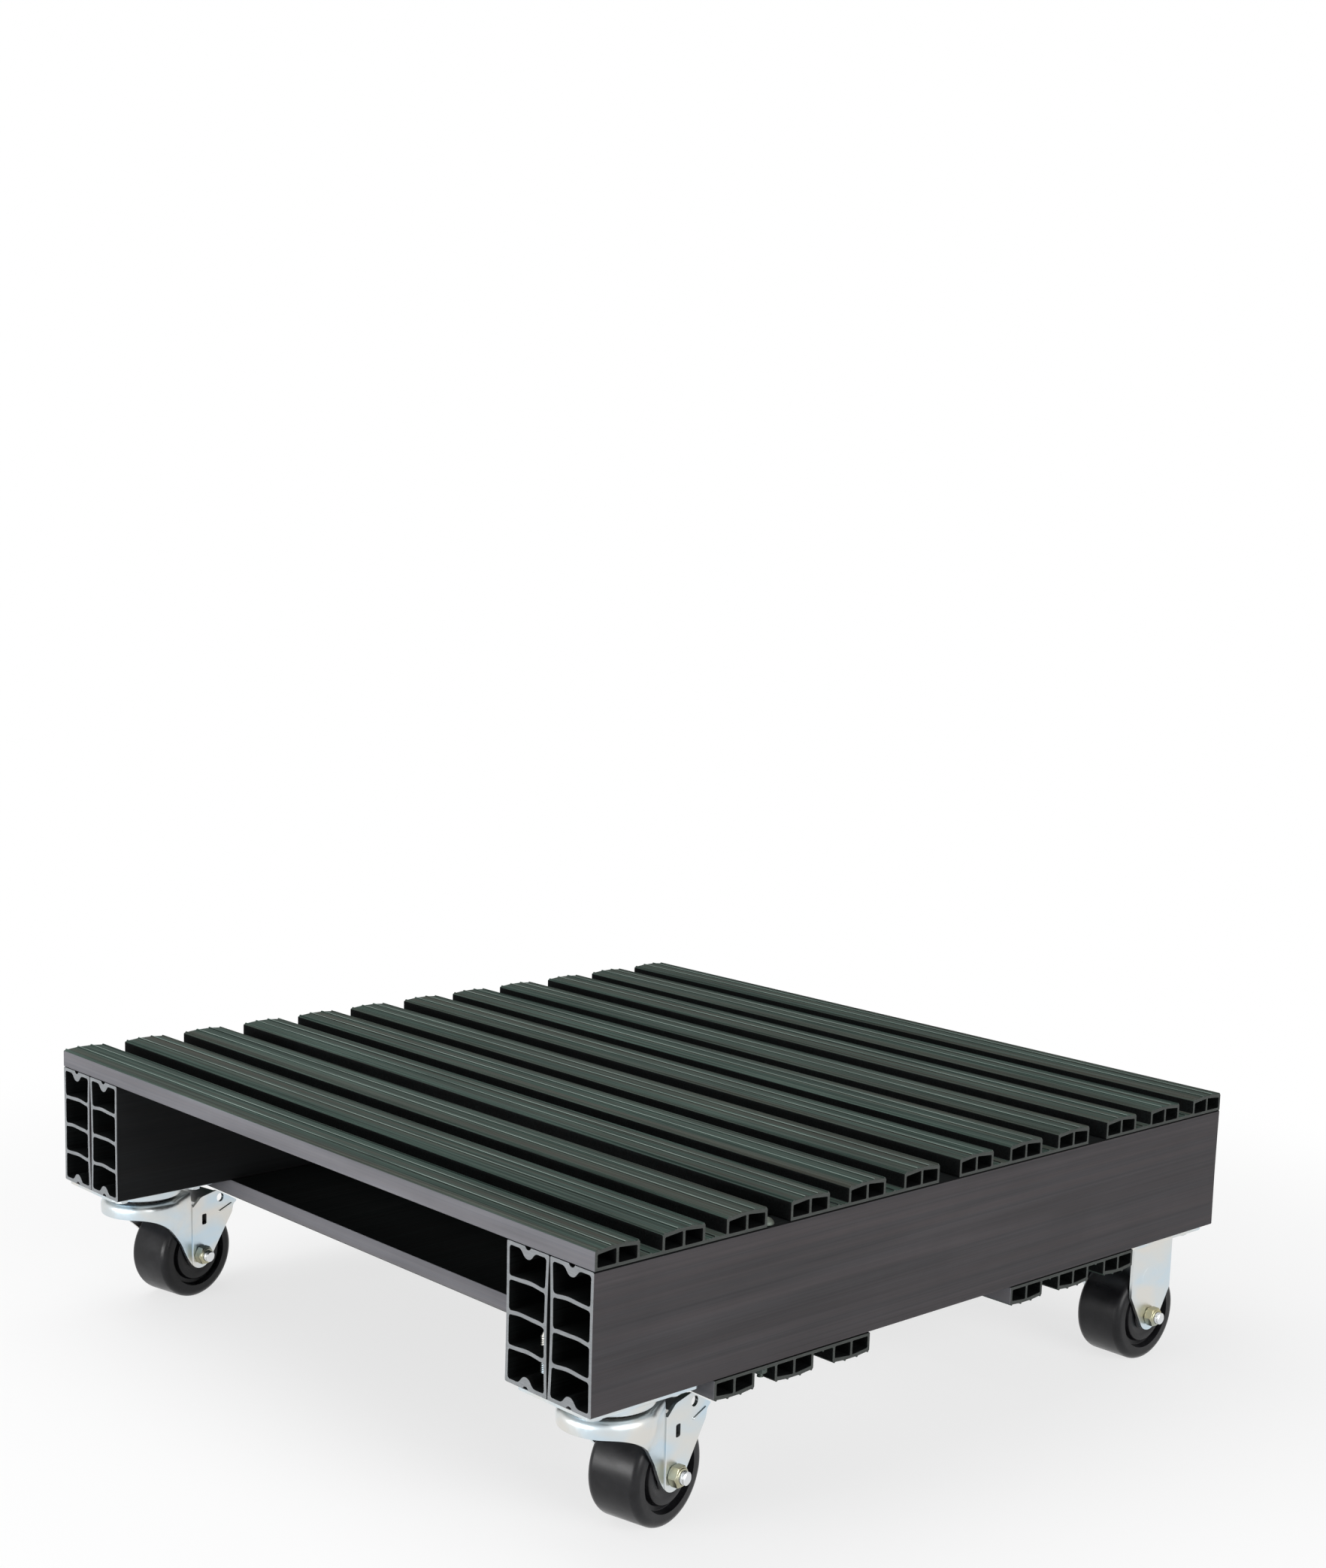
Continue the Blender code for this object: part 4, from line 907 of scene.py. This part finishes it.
def wheel_mesh():
    """The wheel; half of its section runs from the bore to the middle of the tread."""
    low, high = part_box("front_right_wheel")
    radius, tread_half = (high.z - low.z) / 2, (high.y - low.y) / 2
    hub_half = LEG_FACE - SHEET - HUB_GAP
    rim = radius - TREAD_SHOULDER - RIM_WIDTH
    disc, disc_half = rim - SIDE_GROOVE_WIDTH, tread_half - DISC_INSET
    groove_half = tread_half - SIDE_GROOVE_DEPTH
    side = [(SLEEVE_RADIUS + RUNNING_GAP, hub_half), (HUB_RADIUS, hub_half),
            (HUB_RADIUS + SIDE_DRAFT, disc_half - DISH), (disc - RIM_WIDTH, disc_half), (disc, disc_half),
            (disc + SIDE_DRAFT, groove_half), (rim - SIDE_DRAFT, groove_half), (rim, tread_half)]
    half = eased(side, EASING) + arc(radius - TREAD_SHOULDER, tread_half - TREAD_SHOULDER, TREAD_SHOULDER,
                                     90, 0, 14)
    return turned(half + [(radial, -height) for radial, height in reversed(half)], TURN_TO_Y)


def sleeve_mesh():
    bore, half = AXLE_RADIUS + HOLE_GAP, LEG_FACE - SHEET - SEAT
    return turned(rounded([(bore, -half), (SLEEVE_RADIUS, -half), (SLEEVE_RADIUS, half), (bore, half)],
                          EASING), TURN_TO_Y)


def axle_bolt_mesh():
    """Hex-head bolt whose threaded end stands out of its nut."""
    face = LEG_FACE + SEAT
    tip = face + AXLE_NUT_HEIGHT + AXLE_TAIL
    point = AXLE_RADIUS * 0.16
    rings = head_rings(AXLE_HEAD_FLATS, -face - AXLE_HEAD_HEIGHT, -face, SEAT, AXLE_RADIUS)
    rings += round_rings((AXLE_RADIUS, face))
    rings += thread_rings(AXLE_RADIUS, face + SEAT, tip - point, AXLE_PITCH, AXLE_FINE)
    return stacked(rings + round_rings((AXLE_RADIUS - 1.4 * point, tip), (AXLE_RADIUS / 3, tip)), TURN_TO_Y)


def axle_nut_mesh():
    """Lock nut: a chamfered hexagon with a round collar on its outer side."""
    start = LEG_FACE + SEAT
    end = start + AXLE_NUT_HEIGHT
    collar = end - AXLE_NUT_HEIGHT * COLLAR_SHARE
    edge = [(COLLAR_RADIUS - COLLAR_ROUND * (1 - cos(radians(a))), end - COLLAR_ROUND * (1 - sin(radians(a))))
            for a in (0, 22, 45, 67, 90)]
    return stacked(hexagon_rings(AXLE_HEAD_FLATS, start, collar)
                   + round_rings((COLLAR_RADIUS, collar), *edge, (AXLE_RADIUS + HOLE_GAP, end),
                                 (AXLE_RADIUS + HOLE_GAP, start)), TURN_TO_Y, closed=True)


def add_parts(corner, place, rows):
    """Adds pieces of one caster from rows of (name, mesh, material, node, slot)."""
    for name, mesh, material, node, slot_name in rows:
        add_piece(f"{corner}_{name}_fine", moved(mesh, place), (material,), f"{corner}_{node}", slot_name)


def slot(x, y):
    """A slanted slot from round a screw towards a squarer hole pattern."""
    dx = -copysign(SLOT_INWARD, x)
    dy = copysign(SLOT_OUTWARD, y)
    direction = degrees(atan2(dy, dx))
    radius = SCREW_RADIUS + HOLE_GAP
    return (arc(x + dx, y + dy, radius, direction - 90, direction + 90, 10)
            + arc(x, y, radius, direction + 90, direction + 270, 10))


def plate_mesh(corner, bore=0.0):
    """The stamped plate, with a slot at each screw and maybe a bore in the middle."""
    low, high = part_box(corner + PLATES[corner])
    middle = (low + high) / 2
    holes = [circle(0, 0, bore, ROUND_STEPS)] if bore else []
    screws = [middle_of(f"{corner}_screw_{number}") - middle for number in range(1, 5)]
    holes += [slot(screw.x, screw.y) for screw in screws]
    outline = rounded_rectangle(0, 0, high.x - low.x, high.y - low.y, PLATE_CORNER, 8)
    mesh = extruded(outline, holes, -PLATE_DEPTH, 0, ALONG_Z, PLATE_EDGE)
    for face in mesh.polygons:
        face.material_index = 0
    return mesh


def race_profile():
    """The upper race, a cup pressed on under the plate, with a groove for the balls."""
    bore = PIN_RADIUS + HOLE_GAP
    groove_radius = BALL_RADIUS + SEAT
    dip = degrees(asin((BALL_DROP - RACE_BOTTOM) / groove_radius))
    return ([(bore, -PLATE_DEPTH / 2), (bore, -RACE_BOTTOM)]
            + arc(BALL_CIRCLE, -BALL_DROP, groove_radius, 180 - dip, dip, 8)
            + arc(RACE_RADIUS - RACE_EDGE, -RACE_BOTTOM + RACE_EDGE, RACE_EDGE, -90, 0, 8)
            + arc(RACE_RADIUS + RACE_FILLET, -PLATE_DEPTH - RACE_FILLET, RACE_FILLET, 180, 90, 6)
            + [(RACE_RADIUS + RACE_FILLET, -PLATE_DEPTH / 2)])


def kingpin_mesh():
    """The pin, riveted flush in the plate, with a domed head under the crown."""
    head_top = -CROWN_TOP - SHEET - RUNNING_GAP
    dome = dome_rings(PIN_HEAD_RADIUS, -PIN_HEAD_HEIGHT, head_top, (86, 72, 58, 44, 30, 18, 8, 0))
    return stacked(round_rings((PIN_HEAD_RADIUS * 0.05, head_top - PIN_HEAD_HEIGHT)) + dome
                   + round_rings((PIN_RADIUS, head_top), (PIN_RADIUS, -2 * SEAT), (PIN_RADIUS - SEAT, -SEAT)))


def balls_mesh():
    """The balls, held in a thin cage."""
    bm = bmesh.new()
    for i in range(BALLS):
        place = Matrix.Translation((*polar(BALL_CIRCLE, 2 * pi * i / BALLS), -BALL_DROP))
        bmesh.ops.create_uvsphere(bm, u_segments=16, v_segments=10, radius=BALL_RADIUS, matrix=place)
    near, far = BALL_CIRCLE - CAGE_REACH, BALL_CIRCLE + CAGE_REACH
    low, high = -BALL_DROP - CAGE_HEIGHT / 2, -BALL_DROP + CAGE_HEIGHT / 2
    cage = turned([(near, low), (far, low), (far, high), (near, high)])
    return joined([finished(bm), cage])


# ---- rigid casters

def foot_tangent(beside, up):
    """Where a line from a point near the axle touches the foot's circle, in degrees."""
    return degrees(atan2(up, beside) - acos(FOOT_RADIUS / hypot(beside, up)))


def rigid_leg_outline():
    """Side view of the bracket's legs, which narrow to a round end at the axle."""
    half = RIGID_LEG_WIDTH / 2
    tangent = foot_tangent(half, AXLE_DROP - RIGID_LEG_STRAIGHT)
    top = -PLATE_DEPTH / 2
    return ([(half, top), (-half, top), (-half, -RIGID_LEG_STRAIGHT)]
            + arc(0, -AXLE_DROP, FOOT_RADIUS, 180 - tangent, 360 + tangent, 40)
            + [(half, -RIGID_LEG_STRAIGHT)])


def channel_outline():
    """End view of the bracket: an upside-down U, welded into the plate."""
    top, bottom = -PLATE_DEPTH / 2, -AXLE_DROP - LEG_FACE
    inside, inner_top = LEG_FACE - SHEET, -PLATE_DEPTH - SHEET
    weld = SHEET * 0.6
    return ([(-LEG_FACE, bottom), (-inside, bottom)]
            + arc(-inside + SHEET, inner_top - SHEET, SHEET, 180, 90, 8)
            + arc(inside - SHEET, inner_top - SHEET, SHEET, 90, 0, 8)
            + [(inside, bottom), (LEG_FACE, bottom)]
            + arc(LEG_FACE + weld, -PLATE_DEPTH - weld, weld, 180, 90, 6)
            + [(LEG_FACE + weld, top), (-LEG_FACE - weld, top)]
            + arc(-LEG_FACE - weld, -PLATE_DEPTH - weld, weld, 90, 0, 6))


def prism(outline, start, end, axes):
    return extruded(outline, [], start, end, axes, 0.0)


def leg_cutter(outline, axes=TURN_TO_Y):
    """A prism that reaches past both legs."""
    return prism(outline, -2 * LEG_FACE, 2 * LEG_FACE, axes)


def axle_hole(x):
    return leg_cutter(circle(x, -AXLE_DROP, AXLE_RADIUS + HOLE_GAP))


def button_mesh(side):
    """A low round emboss on a leg's outer face."""
    rise = ((1, -SHEET / 2), (1, 0), (0.96, BUTTON_RISE * 0.55), (0.9, BUTTON_RISE), (0.05, BUTTON_RISE))
    place = (Matrix.Translation((BUTTON_X, side * LEG_FACE, -BUTTON_DROP))
             @ Matrix.Rotation(radians(-90 * side), 4, "X"))
    return stacked([round_ring(BUTTON_RADIUS * share, height, ROUND_STEPS) for share, height in rise], place)


def bracket_mesh(corner):
    """The plate, and a channel cut to the legs' side view."""
    legs = carved(prism(channel_outline(), -RIGID_LEG_WIDTH, RIGID_LEG_WIDTH, ALONG_X),
                  [("INTERSECT", leg_cutter(rigid_leg_outline(), ALONG_Y)), ("DIFFERENCE", axle_hole(0))])
    return joined([plate_mesh(corner), legs, button_mesh(-1), button_mesh(1)])


# ---- swivel casters

def fork_plan(outside, crown_radius, rear):
    """Top view: round front, sides drawn in to the fold, a small step out to the flat legs."""
    front, sunk = FOLD_X - FOLD_RUN, outside - FOLD_STEP
    tangent = degrees(atan2(sunk, front) + acos(crown_radius / hypot(front, sunk)))
    side = [(rear, outside)] + [(FOLD_X + FOLD_RUN * back, outside - FOLD_STEP * inward)
                                for back, inward in FOLD_CURVE]
    return (side + arc(0, 0, crown_radius, tangent, 360 - tangent, ROUND_STEPS)
            + [(x, -y) for x, y in side[::-1]])


def fork_side_view():
    """Side view: crown and skirt in front, then the flare and the leg down to the axle."""
    front = -CROWN_RADIUS - SHEET
    skirt, bend = (-SKIRT_END, -SKIRT_BOTTOM), (SKIRT_SWEEP - SKIRT_END, -SKIRT_BOTTOM)
    rear = foot_tangent(LEG_REAR[0] - TRAIL, AXLE_DROP + LEG_REAR[1])
    foot = arc(TRAIL, -AXLE_DROP, FOOT_RADIUS, rear, -degrees(FOOT_START), 30)
    before_foot = onward(foot[-1], FOOT_START - pi / 2, -FOOT_SWEEP)
    corners = [(CROWN_REAR, 0), (FOLD_X, -FOLD_DROP), LEG_SHOULDER, LEG_TOP, LEG_TIP, LEG_NOTCH, LEG_REAR,
               foot[0]]
    return ([(front, 0)] + eased(corners, CORNER_EASING) + foot[1:]
            + bezier(foot[-1], before_foot, onward(FLARE, FLARE_SLOPE, FLARE_SWEEP_DOWN), FLARE, 14)
            + bezier(FLARE, onward(FLARE, FLARE_SLOPE, -FLARE_SWEEP_UP), bend, skirt, 24)
            + [(front, -SKIRT_BOTTOM)])


def fork_blank(inset_by, top, shoulder):
    """The fork's outer or inner form: round the crown, then drawn in towards the legs."""
    rear = LEG_TIP[0] + 2 * inset_by + SHEET
    start, end = (CROWN_RADIUS, -TAPER_TOP), (LEG_FACE, -AXLE_DROP)
    taper = [start] + bezier(start, (CROWN_RADIUS, -TAPER_TOP - TAPER_SWEEP),
                             (LEG_FACE, TAPER_SWEEP - AXLE_DROP), end, 14)
    rings = [(radius - inset_by, LEG_FACE - inset_by, height)
             for radius, height in [(LEG_FACE, -AXLE_DROP - 2 * FOOT_RADIUS)] + taper[::-1]]
    for angle in range(0, 91, 10):
        pull = shoulder * (1 - cos(radians(angle)))
        height = top - shoulder * (1 - sin(radians(angle)))
        rings.append((CROWN_RADIUS - inset_by - pull, LEG_FACE - inset_by - pull / 8, height))
    return stacked([[(x, y, height) for x, y in fork_plan(outside, radius, rear)[::-1]]
                    for radius, outside, height in rings])


def roof_mesh():
    """The sheet that joins the legs along their upper edges, over the wheel."""
    slope = atan2(FOLD_DROP + LEG_TOP[1], LEG_TOP[0] - FOLD_X)
    corner = (LEG_TOP[0], LEG_TOP[1] - ROOF_SINK)
    rear = onward(corner, -slope, -ROOF_SINK)
    front = onward(corner, -slope, (ROOF_FRONT_X - LEG_TOP[0]) / cos(slope))
    outline = [front, rear, (rear[0], rear[1] - SHEET), (front[0], front[1] - SHEET)]
    half = LEG_FACE - SHEET / 2
    return prism(outline, -half, half, ALONG_Y)


def leg_holes():
    slot_outline = rounded_rectangle(*LEG_SLOT, LEG_SLOT_WIDTH, LEG_SLOT_HEIGHT, LEG_SLOT_WIDTH / 4, 4)
    return [leg_cutter(circle(*LEG_HOLE, LEG_HOLE_RADIUS)), leg_cutter(slot_outline)]


def rib_mesh(side):
    """The slanted pressed rib near a leg's tip."""
    start, end = Vector(RIB_START), Vector(RIB_END)
    slope = degrees(atan2(end.y - start.y, end.x - start.x))
    rings = []
    for share, height in ((1, -SHEET / 2), (1, 0), (0.8, RIB_RISE * 0.6), (0.4, RIB_RISE)):
        radius = RIB_WIDTH / 2 * share
        outline = (arc(end.x, end.y, radius, slope - 90, slope + 90, 8)
                   + arc(start.x, start.y, radius, slope + 90, slope + 270, 8))
        rings.append([(x, side * (LEG_FACE + height), z) for x, z in outline])
    return stacked(rings)


def fork_mesh():
    """Crown, skirt and legs, pressed from one sheet."""
    inner_top = -CROWN_TOP - SHEET
    pin_hole = prism(circle(0, 0, PIN_RADIUS + HOLE_GAP), -SKIRT_BOTTOM, 0, ALONG_Z)
    track = turned(arc(BALL_CIRCLE, -BALL_DROP, BALL_RADIUS + SEAT, 0, 360, 16)[:-1])
    steps = [("DIFFERENCE", fork_blank(SHEET, inner_top, CROWN_SHOULDER - SHEET)),
             ("INTERSECT", leg_cutter(fork_side_view(), ALONG_Y)),
             ("UNION", roof_mesh())]
    steps += [("DIFFERENCE", cutter) for cutter in [axle_hole(TRAIL), pin_hole, track] + leg_holes()]
    pressing = carved(fork_blank(0.0, -CROWN_TOP, CROWN_SHOULDER), steps)
    return joined([pressing, rib_mesh(-1), rib_mesh(1)])


def add_casters():
    fork, race, kingpin, balls = fork_mesh(), turned(race_profile()), kingpin_mesh(), balls_mesh()
    wheel_set = (("wheel", wheel_mesh(), WHEEL, "wheel", "wheel_plastic"),
                 ("sleeve", sleeve_mesh(), STEEL, "axle_sleeve", "steel"),
                 ("bolt", axle_bolt_mesh(), BRIGHT_ZINC, "axle_bolt", "zinc"),
                 ("nut", axle_nut_mesh(), YELLOW_ZINC, "axle_nut", "yellow_zinc"))
    for corner, kind in PLATES.items():
        low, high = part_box(corner + kind)
        axle = middle_of(corner + "_axle_sleeve")
        x, y = (low.x + high.x) / 2, (low.y + high.y) / 2
        top, turn = Matrix.Translation((x, y, high.z)), Matrix()
        if kind == "_bracket":
            add_parts(corner, top, (("bracket", bracket_mesh(corner), ZINC, "bracket", "zinc"),))
        else:
            turn = Matrix.Rotation(atan2(axle.y - y, axle.x - x), 4, "Z")
            # The balls take near-black steel, painted shade for the bearing's gap.
            plate = joined([plate_mesh(corner, PIN_RADIUS + HOLE_GAP), race])
            add_parts(corner, top, (("plate", plate, ZINC, "top_plate", "zinc"),
                                    ("kingpin", kingpin, STEEL, "kingpin", "steel"),
                                    ("balls", balls, BEARING_PAINTED_SHADE, "ball_ring", "steel")))
            add_parts(corner, top @ turn, (("fork", fork, ZINC, "fork", "zinc"),))
        add_parts(corner, Matrix.Translation(axle) @ turn, wheel_set)


# ---- studio

def add_camera():
    data = bpy.data.cameras.new("photo_camera")
    data.sensor_fit = "VERTICAL"
    data.sensor_height = SENSOR
    data.lens = FOCAL_PIXELS * SENSOR / PHOTO_HEIGHT
    data.shift_y = (HORIZON_ROW - PHOTO_HEIGHT / 2) / PHOTO_HEIGHT
    camera = linked("photo_camera", data)
    camera.matrix_world = (Matrix.Translation(CAMERA_PLACE) @ Matrix.Rotation(CAMERA_YAW, 4, "Z")
                           @ Matrix.Rotation(pi / 2 - CAMERA_DOWN, 4, "X")
                           @ Matrix.Rotation(CAMERA_ROLL, 4, "Z"))
    studio.camera = camera


def add_light(name, place, aim, size, watts):
    data = bpy.data.lights.new(name, "AREA")
    data.shape = "RECTANGLE"
    data.size, data.size_y = size
    data.energy = watts
    light = linked(name, data)
    light.location = place
    light.rotation_euler = (Vector(aim) - Vector(place)).to_track_quat("-Z", "Y").to_euler()


def add_world():
    """Soft light all round; the camera and mirror-like metal see plain white."""
    world = bpy.data.worlds.new("studio")
    world.use_nodes = True
    tree = world.node_tree
    tree.nodes.clear()
    rays = new_node(tree, "LightPath")
    seen = combined(tree, "MAXIMUM", rays["Is Camera Ray"], rays["Is Glossy Ray"])
    clear = combined(tree, "MAXIMUM", seen, rays["Is Transmission Ray"])
    ambient = new_node(tree, "Background", (("Color", (0.96, 0.98, 1.0)), ("Strength", AMBIENT)))[0]
    white = new_node(tree, "Background", (("Color", (1, 1, 1)), ("Strength", 1.0)))[0]
    mixed = new_node(tree, "MixShader", (("Fac", clear), (1, ambient), (2, white)))[0]
    new_node(tree, "OutputWorld", (("Surface", mixed),))
    studio.world = world


def add_floor():
    """A pale floor that shows the soft shadow and turns plain white further out."""
    bm = bmesh.new()
    bmesh.ops.create_grid(bm, x_segments=2, y_segments=2, size=40)
    mesh = bpy.data.meshes.new("floor")
    bm.to_mesh(mesh)
    bm.free()
    material, tree = new_material("pale_floor", (0.88, 0.88, 0.88), 0.9)
    mesh.materials.append(material)
    place, rays = new_node(tree, "TexCoord")["Object"], new_node(tree, "LightPath")
    distance = new_node(tree, "VectorMath", ((0, place),), operation="LENGTH")["Value"]
    inputs = (("Value", distance), ("From Min", FLOOR_FADE_START), ("From Max", FLOOR_FADE_END),
              ("To Min", SHADOW_LIGHTENING))
    fade = new_node(tree, "MapRange", inputs, interpolation_type="SMOOTHSTEP")["Result"]
    seen = combined(tree, "MULTIPLY", fade, rays["Is Camera Ray"])
    share = combined(tree, "MAXIMUM", seen, rays["Is Glossy Ray"])
    white = new_node(tree, "Emission")["Emission"]
    lit = tree.nodes["Principled BSDF"].outputs["BSDF"]
    mixed = new_node(tree, "MixShader", (("Fac", share), (1, lit), (2, white)))["Shader"]
    fill(tree, tree.nodes["Material Output"].inputs["Surface"], mixed)
    linked("floor", mesh)


add_boards()
add_beams()
add_fasteners()
add_casters()
add_camera()
add_world()
add_floor()
add_light("overhead", (-0.5, 0.7, 2.3), (0, 0, 0.3), (2.4, 2.4), 42)
add_light("left", (-2.6, 0.1, 0.42), (0, 0, 0.2), (2.0, 0.6), 48)
add_light("right", (-0.2, -2.8, 1.0), (0, 0, 0.2), (1.8, 1.2), 46)
studio.view_settings.view_transform = "Standard"
